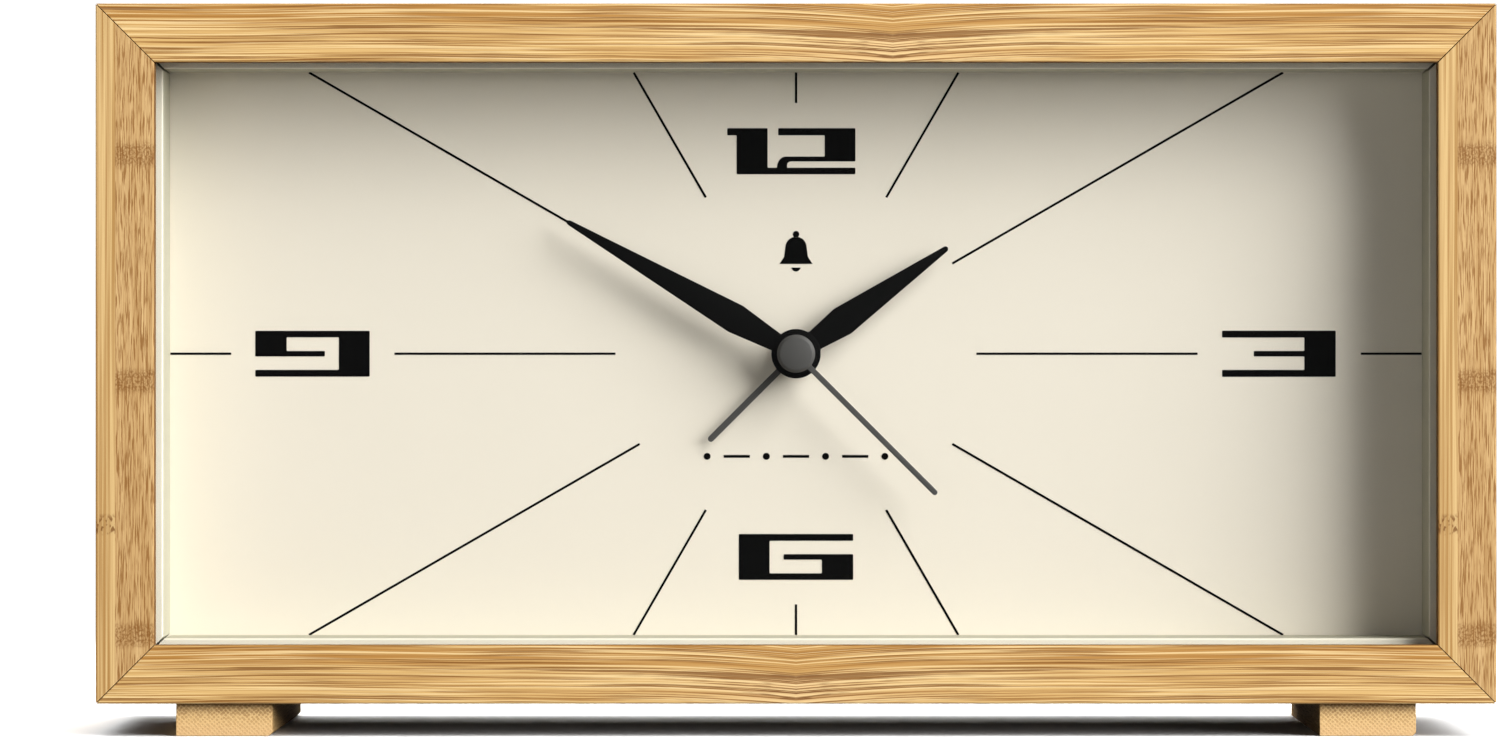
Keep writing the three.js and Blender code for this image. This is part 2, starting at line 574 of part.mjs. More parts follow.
function makeMotor() {
  const { front, back, holeRadius } = STATOR;
  const hole = disc(holeRadius, front - 1, back + 1, BORE_SIDES, ...rotorAt);
  place(movement, 'stator', carve([slab(YOKE_OUTLINE, front, back)], [hole]), STEEL);
  const { halfWidth, halfThickness } = CORE;
  const core = box(-halfWidth, halfWidth, -halfThickness, halfThickness, CORE.bottom, CORE.top);
  place(movement, 'coil_core', core, STEEL).position.set(COIL.x, COIL.y, 0);
  const { bottom, top, cheek } = COIL;
  const { flange, winding, tube, bore } = COIL_RADII;
  const bobbinProfile = [
    [bore, bottom], [flange, bottom], [flange, bottom + cheek], [tube, bottom + cheek],
    [tube, top - cheek], [flange, top - cheek], [flange, top], [bore, top], [bore, bottom],
  ];
  const inner = tube + GAP;
  const low = bottom + cheek + GAP;
  const high = top - cheek - GAP;
  const windingProfile = [[inner, low], [winding, low], [winding, high], [inner, high], [inner, low]];
  const bobbin = turned(bobbinProfile).rotateX(Math.PI / 2);
  place(movement, 'coil_bobbin', bobbin, WHITE_PLASTIC).position.set(COIL.x, COIL.y, 0);
  const wire = turned(windingProfile).rotateX(Math.PI / 2);
  place(movement, 'coil_winding', wire, COPPER).position.set(COIL.x, COIL.y, 0);
}

function makeElectronics() {
  const { left, right, bottom, top, front, back } = BOARD_PLATE;
  place(movement, 'circuit_board', box(left, right, front, back, bottom, top), GREEN_BOARD);
  const seat = back + GAP;
  const dome = [[0, seat]];
  for (let i = 0; i < DOME_STEPS; i += 1) {
    const angle = (Math.PI / 2) * (i / DOME_STEPS);
    dome.push([CHIP.radius * Math.cos(angle), seat + CHIP.height * Math.sin(angle)]);
  }
  dome.push([0, seat + CHIP.height]);
  place(movement, 'chip_cap', turned(dome), BLACK_PLASTIC).position.set(CHIP.x, 0, CHIP.z);
  const end = CRYSTAL.length / 2;
  const can = [[0, -end], [CRYSTAL.radius, -end], [CRYSTAL.radius, end], [0, end]];
  const crystal = turned(can, PIVOT_SIDES).rotateZ(Math.PI / 2);
  place(movement, 'quartz_crystal', crystal, STEEL).position.set(CRYSTAL.x, seat + CRYSTAL.radius, CRYSTAL.z);
  const buzzer = disc(BUZZER.radius, BUZZER.front, BUZZER.back, ROUND_SIDES);
  place(movement, 'buzzer', buzzer, BLACK_PLASTIC).position.set(BUZZER.x, 0, BUZZER.z);
}

function makeAlarmContact() {
  const { left, right, foot, back, thickness, bottom, width } = ALARM_LEAF;
  const strip = [
    [left, foot], [left + thickness, foot], [left + thickness, back - thickness],
    [right, back - thickness], [right, back], [left, back],
  ];
  const geometry = new THREE.ExtrudeGeometry(outline(strip), { depth: width, bevelEnabled: false });
  place(movement, 'alarm_contact_leaf', geometry.translate(0, 0, bottom), BRASS);
}

function makeAlarmSwitch() {
  const plateBack = HOUSING.back - WALL - GAP;
  const thumbFront = HOUSING.back + SWITCH_THUMB.start;
  const thumbBack = HOUSING.back + SWITCH_THUMB.end;
  const block = ({ halfWidth, halfHeight }, front, back) => (
    box(-halfWidth, halfWidth, front, back, -halfHeight, halfHeight)
  );
  const slider = carve([
    block(SWITCH_PLATE, plateBack - SWITCH_PLATE.thickness, plateBack),
    block(SWITCH_POST, plateBack - SWITCH_PLATE.thickness / 2, thumbFront + SUNK),
    block(SWITCH_THUMB, thumbFront, thumbBack),
  ]);
  place(movement, 'alarm_switch', slider, WHITE_PLASTIC).position.set(SWITCH.x, 0, SWITCH.z);
}

function makeBattery() {
  const middle = (BAY.bottom + BAY.top) / 2;
  const depth = BAY.floor + GAP + CELL.radius;
  const start = -CELL.length / 2 + CELL.offset;
  const shoulder = start + CELL.length;
  const profile = [
    [0, start], [CELL.radius, start], [CELL.radius, shoulder], [CELL.nubRadius, shoulder],
    [CELL.nubRadius, shoulder + CELL.nub], [0, shoulder + CELL.nub],
  ];
  const cell = turned(profile, ROUND_SIDES).rotateZ(-Math.PI / 2);
  place(movement, 'battery_cell', cell, CELL_JACKET).position.set(0, depth, middle);
  const { half, thickness, bow, bowHalf } = CONTACT;
  const flat = box(-thickness, 0, -half, half, -half, half);
  const plus = place(movement, 'battery_plus_contact', flat, BRASS);
  plus.position.set(BAY.halfLength - GAP, depth, middle);
  const strip = [
    [0, -half], [thickness, -half], [thickness + bow, -bowHalf], [thickness + bow, bowHalf],
    [thickness, half], [0, half], [bow, bowHalf], [bow, -bowHalf],
  ];
  const spring = new THREE.ExtrudeGeometry(outline(strip), { depth: 2 * half, bevelEnabled: false });
  const minus = place(movement, 'battery_minus_contact', spring.translate(0, 0, -half), BRASS);
  minus.position.set(-BAY.halfLength + GAP, depth, middle);
}

makeCase();
makeFeet();
makeDial();
makeBackPanel();
makeFrontHousing();
makeRearHousing();
makeMiddlePlate();
makeSecondsTrain();
makeMotionWork();
makeHands();
makeMotor();
makeElectronics();
makeAlarmContact();
makeAlarmSwitch();
makeBattery();

export default clock;
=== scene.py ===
"""Looks of the mantel alarm clock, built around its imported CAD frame.

Shapes are worked out in millimetres and made in metres, +Z up, with the dial facing -Y.
"""

import json
import math

import bmesh
import bpy
from mathutils import Matrix, Vector

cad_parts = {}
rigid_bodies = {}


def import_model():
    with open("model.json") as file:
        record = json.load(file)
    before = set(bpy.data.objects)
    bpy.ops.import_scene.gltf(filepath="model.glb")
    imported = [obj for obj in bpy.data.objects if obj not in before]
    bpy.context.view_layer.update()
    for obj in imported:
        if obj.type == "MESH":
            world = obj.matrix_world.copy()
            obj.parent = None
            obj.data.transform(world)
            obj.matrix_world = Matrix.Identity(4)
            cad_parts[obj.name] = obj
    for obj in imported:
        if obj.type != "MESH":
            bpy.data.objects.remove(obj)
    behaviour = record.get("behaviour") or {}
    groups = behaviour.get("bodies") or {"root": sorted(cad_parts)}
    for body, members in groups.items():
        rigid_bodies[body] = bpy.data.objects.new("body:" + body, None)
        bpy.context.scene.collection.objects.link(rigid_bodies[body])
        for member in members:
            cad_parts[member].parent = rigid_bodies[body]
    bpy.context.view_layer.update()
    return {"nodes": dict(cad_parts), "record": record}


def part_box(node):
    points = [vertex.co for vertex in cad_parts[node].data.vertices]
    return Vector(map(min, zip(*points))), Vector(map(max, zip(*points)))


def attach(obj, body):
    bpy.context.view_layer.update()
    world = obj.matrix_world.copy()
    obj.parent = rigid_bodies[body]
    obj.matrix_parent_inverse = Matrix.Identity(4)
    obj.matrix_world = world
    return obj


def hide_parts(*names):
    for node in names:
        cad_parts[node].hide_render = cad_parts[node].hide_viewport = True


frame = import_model()

MM = 0.001


def corners(node):
    """A CAD node's lowest and highest corner in millimetres."""
    low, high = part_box(node)
    return low / MM, high / MM


def centre_of(node):
    """The middle of a CAD node's box in millimetres."""
    low, high = corners(node)
    return (low + high) / 2


# Places read from the frame
TOP_LOW, TOP_HIGH = corners("case_top")
GLASS_LOW, GLASS_HIGH = corners("glass_lens")
CAP_LOW, CAP_HIGH = corners("second_hand_cap")
HOUSING_LOW, HOUSING_HIGH = corners("movement_rear_housing")
FRONT, BACK = TOP_LOW.y, TOP_HIGH.y
RIGHT = corners("case_right")[1].x
LEFT = corners("case_left")[0].x
TOP = TOP_HIGH.z
BOTTOM = corners("case_bottom")[0].z
LIP = TOP - TOP_LOW.z
BOARD = RIGHT - GLASS_HIGH.x - 0.3
LIP_BACK = GLASS_LOW.y - 0.2
HUB_Z = centre_of("second_hand_cap").z
DIAL_FACE = corners("dial_plate")[0].y
DIAL_HALF_WIDTH = corners("spacer_right")[0].x
DIAL_HALF_HEIGHT = corners("spacer_top")[0].z - HUB_Z

# Camera: level with the hands, straight in front of the dial
CAMERA_DISTANCE = 867
LENS = 145.8
SHIFT = (-0.0307, -0.0112)

# Lights, as a direction from the dial, distance and size
KEY = {"towards": (1.9, -1.0, 1.2), "distance": 3.0, "size": 3.0, "power": 277}
CASE_KEY = {"towards": (1.2, -1.8, 1.0), "distance": 4.5, "size": 3.0, "power": 450}
REAR = {"towards": (-0.1, 1.0, 0.6), "distance": 2.0, "size": 1.5, "power": 65}
SIDE = {"towards": (-1.0, 0.3, 0.4), "distance": 2.0, "size": 1.2, "power": 45}
OVERHEAD = {"towards": (0.15, 0.1, 1.0), "distance": 1.1, "size": 0.6, "power": 28}
FRONT_FILL = {"towards": (-0.5, -1.0, 0.05), "distance": 2.5, "size": 0.9, "power": 4.8}
AMBIENT = 0.05
MIRRORED_AMBIENT = 0.2
FLOOR_BOUNCE = 0.08
BACKDROP = 1.05
FLOOR_FADE = (150, 330)

# Case
MITRE_GAP = 0.07
EDGE_EASE = 0.3
MITRE_EASE = 0.08
FOOT_EASE = 0.12
FOOT_CHAMFER = 0.5
STRIP_WIDTH = 18
NODE_PITCH = 96
GRAIN_START = 200
EDGE_LACQUER = (0.12, 0.44, 0.6)
FACE_LACQUER = (0.03, 0.62, 0.76)
TOP_NODE = 13.8

# Back and movement
WINDOW_MARGIN = 3
THREAD_PITCH = 0.6
KNOB_FLUTES = 18
KNOB_RIDGE = 0.45
CELL_NUB = 1.3
SOFTENED = {"movement_rear_housing": 0.3, "movement_front_housing": 0.25, "alarm_switch": 0.2,
            "corner_block_1": 0.4, "corner_block_2": 0.4, "corner_block_3": 0.4, "corner_block_4": 0.4}

# Print on the dial
INK_THICKNESS = 0.04
LINE_WIDTH = 0.34
LINE_START = 26.2
STUB_START = 36.4
NUMERAL_GAP = (58.3, 82.0)
NUMERAL_REACH = {"12": 29.4, "3": 70.1, "6": 29.5, "9": 70.2}
TWELVE_SIZE = (17.24, 6.69)
NUMERAL_EASE = 0.16
BELL_AT = 15.1
BELL_SIZE = 1.15
MOTIF_AT = 14.9
MOTIF_PITCH = 4.3

# Hands, measured from the hub in the direction that they point
HUB_RADIUS = 3.575
HAND_EASE = 0.1
HOUR = {"angle": 55, "length": 26.8, "neck": 1.47, "belly": 2.18, "belly_at": 8.2, "tip": 0.42}
MINUTE = {"angle": 300, "length": 38.2, "neck": 1.35, "belly": 2.16, "belly_at": 10.1, "tip": 0.37}
SECOND = {"angle": 135, "length": 28.7, "width": 0.82, "hub": 2.2}
ALARM = {"angle": 225, "length": 17.9, "width": 0.9, "hub": 3.3}
NECK_AT = 3.2


# Node graphs


def srgb(red, green, blue):
    """A colour given as 0 to 255 on screen, as linear values with alpha."""
    levels = []
    for value in (red, green, blue):
        part = value / 255
        levels.append(part / 12.92 if part <= 0.04045 else ((part + 0.055) / 1.055) ** 2.4)
    return (*levels, 1.0)


class Finish:
    """A material's node tree. Each method adds a node and returns its output."""

    def __init__(self, name, **sockets):
        self.material = bpy.data.materials.new(name)
        self.material.use_nodes = True
        self.tree = self.material.node_tree
        self.surface = self.tree.nodes["Principled BSDF"]
        for socket, value in sockets.items():
            self.feed(self.surface.inputs[socket.replace("_", " ")], value)

    def feed(self, socket, value):
        """Links or sets a socket. Three numbers for a colour are 0 to 255 on screen."""
        if isinstance(value, bpy.types.NodeSocket):
            self.tree.links.new(value, socket)
        elif socket.type == "RGBA" and len(value) == 3:
            socket.default_value = srgb(*value)
        else:
            socket.default_value = value

    def add(self, kind, inputs=(), output=0, **settings):
        node = self.tree.nodes.new("ShaderNode" + kind)
        for key, value in settings.items():
            setattr(node, key, value)
        for index, value in enumerate(inputs):
            self.feed(node.inputs[index], value)
        return node.outputs[output]

    def math(self, operation, *values):
        return self.add("Math", values, operation=operation)

    def times(self, first, second):
        return self.math("MULTIPLY", first, second)

    def plus(self, first, second):
        return self.math("ADD", first, second)

    def minus(self, first, second):
        return self.math("SUBTRACT", first, second)

    def apart(self, first, second):
        return self.math("ABSOLUTE", self.minus(first, second))

    def set(self, name, value):
        self.feed(self.surface.inputs[name], value)

    def place(self):
        """The piece's own coordinates in millimetres."""
        source = self.add("TexCoord", output="Object")
        return self.stretch(source, (1 / MM, 1 / MM, 1 / MM))

    def grain(self):
        """Along the grain, across it and into the depth, in millimetres."""
        return self.add("Attribute", output="Vector", attribute_name="grain")

    def split(self, vector):
        return self.tree.nodes[self.add("SeparateXYZ", [vector]).node.name].outputs

    def join(self, x, y, z):
        return self.add("CombineXYZ", [x, y, z])

    def stretch(self, vector, factors, shift=(0, 0, 0)):
        return self.add("VectorMath", [vector, factors, shift], operation="MULTIPLY_ADD")

    def noise(self, vector, scale=1.0, detail=2.0):
        node = self.add("TexNoise").node
        self.feed(node.inputs["Vector"], vector)
        self.feed(node.inputs["Scale"], scale)
        self.feed(node.inputs["Detail"], detail)
        return node.outputs[0]

    def fibres(self, grain, length, width, seed, detail=2.0):
        """Noise drawn out along the grain."""
        factors = (1 / length, 1 / width, 1 / width)
        return self.noise(self.stretch(grain, factors, (seed, 1.7 * seed, 0.6 * seed)), 1.0, detail)

    def ease(self, value, low, high, start=0.0, end=1.0):
        """A smooth step from start to end while value goes from low to high."""
        node = self.add("MapRange", interpolation_type="SMOOTHSTEP").node
        for index, number in enumerate((value, low, high, start, end)):
            self.feed(node.inputs[index], number)
        return node.outputs[0]

    def mix(self, share, first, second):
        node = self.add("Mix", data_type="RGBA").node
        for index, value in ((0, share), (6, first), (7, second)):
            self.feed(node.inputs[index], value)
        return node.outputs[2]

    def bump(self, height, depth, strength=1.0):
        """Relief of the given depth in millimetres."""
        node = self.add("Bump").node
        self.feed(node.inputs["Strength"], strength)
        self.feed(node.inputs["Distance"], depth * MM)
        self.feed(node.inputs["Height"], height)
        self.set("Normal", node.outputs[0])

    def paint(self, colour):
        self.set("Base Color", colour)
        return self.material


# Bamboo


def lacquer(finish, fibre, gloss, smooth, rough):
    """Lacquer over the fibres, between a smooth and a rough finish."""
    finish.set("Specular IOR Level", gloss)
    finish.set("Roughness", finish.ease(fibre, 0.2, 0.8, smooth, rough))
    finish.bump(fibre, 0.03, 0.5)


def edge_grain(name, seed, node):
    """The edges of bamboo strips: long streaks that dip at the node, with short dark dashes by it."""
    finish = Finish(name)
    along, across, depth = finish.split(finish.grain())
    reach = finish.apart(along, node)
    near = finish.math("EXPONENT", finish.times(reach, -1 / 14))
    sway = finish.noise(finish.join(finish.times(reach, 0.035), seed, 0), 1.0, 1.0)
    drop = finish.math("MULTIPLY_ADD", near, 1.4, finish.times(sway, 0.7))
    level = finish.minus(across, drop)
    bent = finish.join(reach, level, depth)
    broad = finish.fibres(bent, 70, 0.6, seed)
    fine = finish.fibres(bent, 24, 0.19, seed + 3, 4.0)
    dark = finish.fibres(bent, 30, 0.22, seed + 7, 4.0)
    light = finish.fibres(bent, 44, 0.25, seed + 11, 3.0)
    dash = finish.fibres(bent, 6, 0.24, seed + 15, 3.0)
    lower = finish.ease(level, 2.2, 3.0)
    pale = finish.times(finish.times(near, lower), 0.75)
    base = finish.mix(lower, (158, 114, 56), (182, 146, 90))
    base = finish.mix(finish.ease(broad, 0.36, 0.68, 0.0, 0.6), base, (192, 158, 101))
    base = finish.mix(pale, base, (206, 174, 126))
    base = finish.mix(finish.ease(fine, 0.34, 0.56, 0.75, 0.0), base, (128, 84, 34))
    base = finish.mix(finish.ease(light, 0.5, 0.62, 0.0, 0.75), base, (210, 184, 134))
    base = finish.mix(finish.ease(dark, 0.54, 0.62, 0.0, 0.8), base, (106, 64, 20))
    dashes = finish.times(pale, finish.ease(dash, 0.54, 0.64, 0.0, 1.2))
    base = finish.mix(dashes, base, (92, 52, 14))
    lacquer(finish, fine, *EDGE_LACQUER)
    return finish.paint(base)


def flat_colour(finish, grain, nodes, seed):
    """The wide faces of bamboo strips: short flecks, and a speckled band at each node."""
    along = finish.split(grain)[0]
    broad = finish.fibres(grain, 45, 1.3, seed)
    fleck = finish.fibres(grain, 3.4, 0.18, seed + 2, 3.0)
    fine = finish.fibres(grain, 12, 0.18, seed + 5, 3.0)
    base = finish.mix(finish.ease(broad, 0.3, 0.7), (173, 139, 91), (186, 154, 106))
    base = finish.mix(finish.ease(fine, 0.32, 0.6, 0.55, 0.0), base, (138, 100, 54))
    base = finish.mix(finish.ease(fleck, 0.48, 0.62, 0.0, 0.9), base, (122, 81, 36))
    wobble = finish.times(finish.noise(finish.stretch(grain, (0.5, 0.9, 0.9))), 1.6)
    mottle = finish.noise(finish.stretch(grain, (2.6, 3.4, 3.4)), 1.0, 2.0)
    for place in nodes:
        offset = finish.plus(finish.minus(along, place), wobble)
        distance = finish.apart(offset, 0.8)
        band = finish.ease(distance, 0.9, 2.2, 1.0, 0.0)
        speck = finish.times(band, finish.ease(mottle, 0.42, 0.6, 0.2, 0.75))
        base = finish.mix(speck, base, (110, 69, 26))
    return base, fine


def side_grain(name, seed, flat_nodes, edge_nodes):
    """A narrow strip seen on edge beside a wider strip seen flat."""
    finish = Finish(name)
    grain = finish.grain()
    along, across, _ = finish.split(grain)
    flat, fine = flat_colour(finish, grain, flat_nodes, seed)
    stripe = finish.fibres(grain, 60, 0.42, seed + 20)
    thread = finish.fibres(grain, 20, 0.17, seed + 23, 3.0)
    edge = finish.mix(finish.ease(stripe, 0.34, 0.64), (152, 115, 64), (192, 162, 111))
    edge = finish.mix(finish.ease(thread, 0.3, 0.6, 0.45, 0.0), edge, (137, 97, 50))
    pores = finish.noise(finish.stretch(grain, (1.1, 2.0, 2.0)), 1.0, 1.0)
    for place in edge_nodes:
        distance = finish.apart(along, place)
        band = finish.ease(distance, 0.7, 1.8, 1.0, 0.0)
        speck = finish.times(band, finish.ease(pores, 0.5, 0.62, 0.1, 0.85))
        edge = finish.mix(speck, edge, (102, 62, 23))
    lacquer(finish, fine, *EDGE_LACQUER)
    return finish.paint(finish.mix(finish.ease(across, 2.7, 2.95), edge, flat))


def face_grain(name, seed):
    """A broad face glued up from strips, each with its own tone and nodes."""
    finish = Finish(name)
    along, across, depth = finish.split(finish.grain())
    strips = finish.math("DIVIDE", depth, STRIP_WIDTH)
    chance = finish.add("TexWhiteNoise", noise_dimensions="1D").node
    finish.feed(chance.inputs["W"], finish.plus(finish.math("FLOOR", strips), seed + 0.5))
    luck = chance.outputs["Value"]
    shifted = finish.math("MULTIPLY_ADD", luck, NODE_PITCH - 1, finish.plus(along, GRAIN_START))
    grain = finish.join(finish.math("MODULO", shifted, NODE_PITCH), across, depth)
    colour, fine = flat_colour(finish, grain, [NODE_PITCH / 2], seed)
    colour = finish.mix(finish.times(luck, 0.35), colour, (204, 173, 120))
    seam = finish.ease(finish.math("FRACT", strips), 0.0, 0.012, 0.6, 0.0)
    lacquer(finish, fine, *FACE_LACQUER)
    return finish.paint(finish.mix(seam, colour, (122, 84, 39)))


def end_grain(name):
    """Sawn ends of bamboo: dark bundles of fibre in a slanting lattice, thinning downwards."""
    finish = Finish(name, Roughness=0.62)
    place = finish.place()
    x, _, z = finish.split(place)
    slant = finish.join(finish.plus(x, z), finish.minus(x, z), 0)
    cell = finish.add("TexVoronoi").node
    finish.feed(cell.inputs["Vector"], slant)
    finish.feed(cell.inputs["Scale"], 1.5)
    finish.feed(cell.inputs["Randomness"], 0.3)
    height = finish.ease(z, 0.4, 4.6)
    size = finish.math("MULTIPLY_ADD", height, 0.1, 0.36)
    dot = finish.ease(finish.minus(size, cell.outputs["Distance"]), -0.08, 0.06)
    patch = finish.noise(place, 0.5, 2.0)
    strength = finish.times(dot, finish.math("MULTIPLY_ADD", height, 0.5, 0.16))
    strength = finish.times(strength, finish.ease(patch, 0.25, 0.6, 0.6, 1.0))
    base = finish.mix(finish.ease(z, 0.2, 3.0), (188, 146, 96), (186, 149, 90))
    base = finish.mix(finish.noise(place, 2.2, 3.0), base, (198, 166, 114))
    finish.bump(finish.times(dot, -1), 0.05, 0.5)
    return finish.paint(finish.mix(strength, base, (120, 79, 27)))


# Other finishes


def speckled(name, light, dark, size, depth, roughness, **sockets):
    """A plain finish whose tone and relief vary over specks of a size in millimetres."""
    finish = Finish(name, **sockets)
    place = finish.place()
    speck = finish.noise(place, 1 / size, 3.0)
    cloud = finish.noise(place, 0.06, 2.0)
    share = finish.math("MULTIPLY_ADD", cloud, 0.5, finish.times(speck, 0.5))
    finish.set("Roughness", finish.ease(speck, 0.2, 0.8, roughness - 0.06, roughness + 0.06))
    finish.bump(speck, depth, 0.5)
    return finish.paint(finish.mix(share, dark, light))


def turned_metal(name, light, dark, roughness):
    """Metal with the fine rings left by a lathe around the hands' axis."""
    finish = Finish(name, Metallic=1.0)
    x, y, z = finish.split(finish.place())
    squares = finish.plus(finish.math("POWER", x, 2), finish.math("POWER", finish.minus(z, HUB_Z), 2))
    radius = finish.math("SQRT", squares)
    ring = finish.noise(finish.join(finish.times(radius, 9), y, 0), 1.0, 2.0)
    finish.set("Roughness", finish.ease(ring, 0.2, 0.8, roughness - 0.08, roughness + 0.08))
    finish.bump(ring, 0.01, 0.4)
    return finish.paint(finish.mix(ring, dark, light))


def clear_glass():
    finish = Finish("clear_glass")
    nodes = finish.tree.nodes
    through = nodes.new("ShaderNodeBsdfTransparent")
    through.inputs["Color"].default_value = (0.99, 0.992, 0.99, 1)
    mirror = nodes.new("ShaderNodeBsdfGlossy")
    mirror.inputs["Roughness"].default_value = 0.01
    facing = finish.add("LayerWeight", [0.5], output="Facing")
    share = finish.math("MULTIPLY_ADD", finish.math("POWER", facing, 5), 0.6, 0.007)
    blend = nodes.new("ShaderNodeMixShader")
    finish.feed(blend.inputs[0], share)
    finish.feed(blend.inputs[1], through.outputs[0])
    finish.feed(blend.inputs[2], mirror.outputs[0])
    finish.feed(nodes["Material Output"].inputs["Surface"], blend.outputs[0])
    nodes.remove(finish.surface)
    return finish.material


def copper_wire():
    """Turns of enamelled wire laid side by side."""
    finish = Finish("copper_wire", Metallic=1.0, Roughness=0.3)
    z = finish.split(finish.place())[2]
    turn = finish.math("SINE", finish.times(z, 40))
    share = finish.math("MULTIPLY_ADD", turn, 0.3, finish.times(finish.noise(z, 2.0), 0.5))
    finish.bump(turn, 0.05, 0.8)
    return finish.paint(finish.mix(share, (170, 78, 38), (224, 130, 78)))


def circuit_green():
    """Solder mask over copper tracks."""
    finish = Finish("circuit_green", Roughness=0.4)
    x, _, z = finish.split(finish.place())
    track = finish.math("SINE", finish.times(finish.plus(x, z), 3.1))
    broken = finish.noise(finish.place(), 0.35, 1.0)
    share = finish.times(finish.ease(track, 0.2, 0.4), finish.ease(broken, 0.45, 0.5))
    finish.bump(share, 0.04, 0.6)
    return finish.paint(finish.mix(share, (22, 74, 42), (48, 116, 66)))


def battery_jacket():
    """A printed film sleeve: slate blue, with a pale band by the positive end."""
    finish = Finish("battery_jacket", Coat_Weight=0.5)
    end = corners("battery_cell")[1].x
    place = finish.place()
    x = finish.split(place)[0]
    band = finish.times(finish.ease(x, end - 14.2, end - 14.0),
                        finish.ease(x, end - 7.2, end - 7.0, 1.0, 0.0))
    mist = finish.noise(place, 0.5, 3.0)
    finish.set("Roughness", finish.ease(mist, 0.3, 0.7, 0.28, 0.38))
    colour = finish.mix(band, (44, 66, 88), (196, 200, 198))
    return finish.paint(finish.mix(finish.times(mist, 0.2), colour, (70, 92, 112)))


# Light and dark tone, size of the specks and depth of the relief in millimetres, roughness
SPECKLED = {
    # bamboo_shade is a darker copy of the bamboo: painted shade for the lips' inward faces and the mitre
    # faces
    "bamboo_shade": ((136, 98, 54), (104, 70, 34), 0.4, 0.02, 0.6),
    "block_wood": ((214, 186, 140), (186, 152, 104), 0.8, 0.1, 0.75),
    "cream_spacer": ((243, 238, 221), (234, 228, 208), 0.25, 0.02, 0.7),
    # spacer_edge is a darker grey copy of cream_spacer: painted shade on the spacers' cut edges
    "spacer_edge": ((186, 182, 162), (172, 168, 148), 0.3, 0.02, 0.75),
    "cream_dial": ((241, 233, 217), (237, 229, 212), 0.2, 0.008, 0.62),
    "ink": ((8, 8, 8), (4, 4, 4), 0.3, 0.005, 0.7),
    "black_panel": ((44, 43, 42), (27, 26, 26), 0.45, 0.06, 0.72),
    "black_housing": ((36, 36, 37), (23, 23, 24), 0.18, 0.03, 0.52),
    "black_knob": ((34, 34, 35), (22, 22, 23), 0.25, 0.015, 0.45),
    "screw_steel": ((205, 206, 204), (170, 172, 172), 0.3, 0.01, 0.34),
    "white_plastic": ((236, 233, 224), (222, 218, 206), 0.6, 0.01, 0.42),
    "switch_plastic": ((214, 211, 202), (200, 196, 186), 0.5, 0.01, 0.4),
    "contact_brass": ((226, 208, 152), (198, 172, 110), 0.4, 0.01, 0.3),
    "motor_steel": ((188, 190, 192), (140, 143, 146), 0.5, 0.02, 0.38),
    "component_black": ((30, 30, 31), (17, 17, 18), 0.3, 0.03, 0.5),
    "crystal_steel": ((214, 216, 218), (182, 184, 186), 0.4, 0.008, 0.25),
    "black_hand": ((9, 9, 9), (5, 5, 5), 0.15, 0.008, 0.55),
    "grey_hand": ((80, 79, 77), (68, 67, 65), 0.15, 0.008, 0.5),
}
METALS = ("screw_steel", "contact_brass", "motor_steel", "crystal_steel")
DULLED = {"bamboo_shade": 0.05, "ink": 0.02, "black_hand": 0.06, "grey_hand": 0.3}


def make_finishes():
    """Every finish by name, most of them under the name of their slot in the record."""
    finishes = {}
    for name, look in SPECKLED.items():
        sockets = {"Metallic": 1.0} if name in METALS else {}
        if name in DULLED:
            sockets["Specular_IOR_Level"] = DULLED[name]
        finishes[name] = speckled(name, *look, **sockets)
    finishes["clear_glass"] = clear_glass()
    finishes["gear_brass"] = turned_metal("gear_brass", (226, 190, 110), (196, 154, 76), 0.3)
    finishes["copper_wire"] = copper_wire()
    finishes["circuit_green"] = circuit_green()
    finishes["battery_jacket"] = battery_jacket()
    return finishes


FINISHES = make_finishes()


# Meshes


def linked(name, data):
    """A new object in the scene."""
    thing = bpy.data.objects.new(name, data)
    bpy.context.scene.collection.objects.link(thing)
    return thing


def piece_from(name, mesh, slot, body, *nodes, finish=None):
    """An object for a finished mesh that rides on a body and stands for CAD nodes."""
    piece = linked(name, mesh)
    if not mesh.materials:
        mesh.materials.append(finish or FINISHES[slot])
    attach(piece, body)
    for node in nodes:
        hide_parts(node)
    return piece


def modify(thing, *modifiers):
    """Adds modifiers, each given as its type and settings."""
    for kind, settings in modifiers:
        modifier = thing.modifiers.new(kind, kind)
        for key, value in settings.items():
            setattr(modifier, key, value)


def mesh_of(draft):
    """The mesh that a draft object comes to. The object goes."""
    bpy.context.view_layer.update()
    graph = bpy.context.evaluated_depsgraph_get()
    mesh = bpy.data.meshes.new_from_object(draft.evaluated_get(graph), depsgraph=graph)
    bpy.data.objects.remove(draft)
    return mesh


def settled(mesh, *modifiers):
    """The mesh after modifiers."""
    draft = linked("draft", mesh)
    modify(draft, *modifiers)
    return mesh_of(draft)


def creased(mesh, degrees=32):
    """Smooth shading that keeps edges sharp beyond an angle."""
    mesh.shade_smooth()
    mesh.set_sharp_from_angle(angle=math.radians(degrees))
    return mesh


def skin(bm, rings):
    """Faces between each ring of vertices and the next."""
    for lower, upper in zip(rings, rings[1:]):
        for i in range(len(lower)):
            j = (i + 1) % len(lower)
            face = list(dict.fromkeys((lower[i], lower[j], upper[j], upper[i])))
            if len(face) > 2:
                bm.faces.new(face)


def eased(mesh, width, segments=3, weights=False):
    """The mesh with rounded edges and clean shading on its flat faces."""
    mesh.shade_smooth()
    bevel = {"width": width * MM, "segments": segments, "use_clamp_overlap": True}
    if weights:
        bevel["limit_method"] = "WEIGHT"
    else:
        bevel["limit_method"] = "ANGLE"
        bevel["angle_limit"] = math.radians(35)
    return settled(mesh, ("BEVEL", bevel), ("WEIGHTED_NORMAL", {"weight": 50}))


def mesh_from(bm, name):
    bmesh.ops.recalc_face_normals(bm, faces=bm.faces)
    mesh = bpy.data.meshes.new(name)
    bm.to_mesh(mesh)
    bm.free()
    return mesh


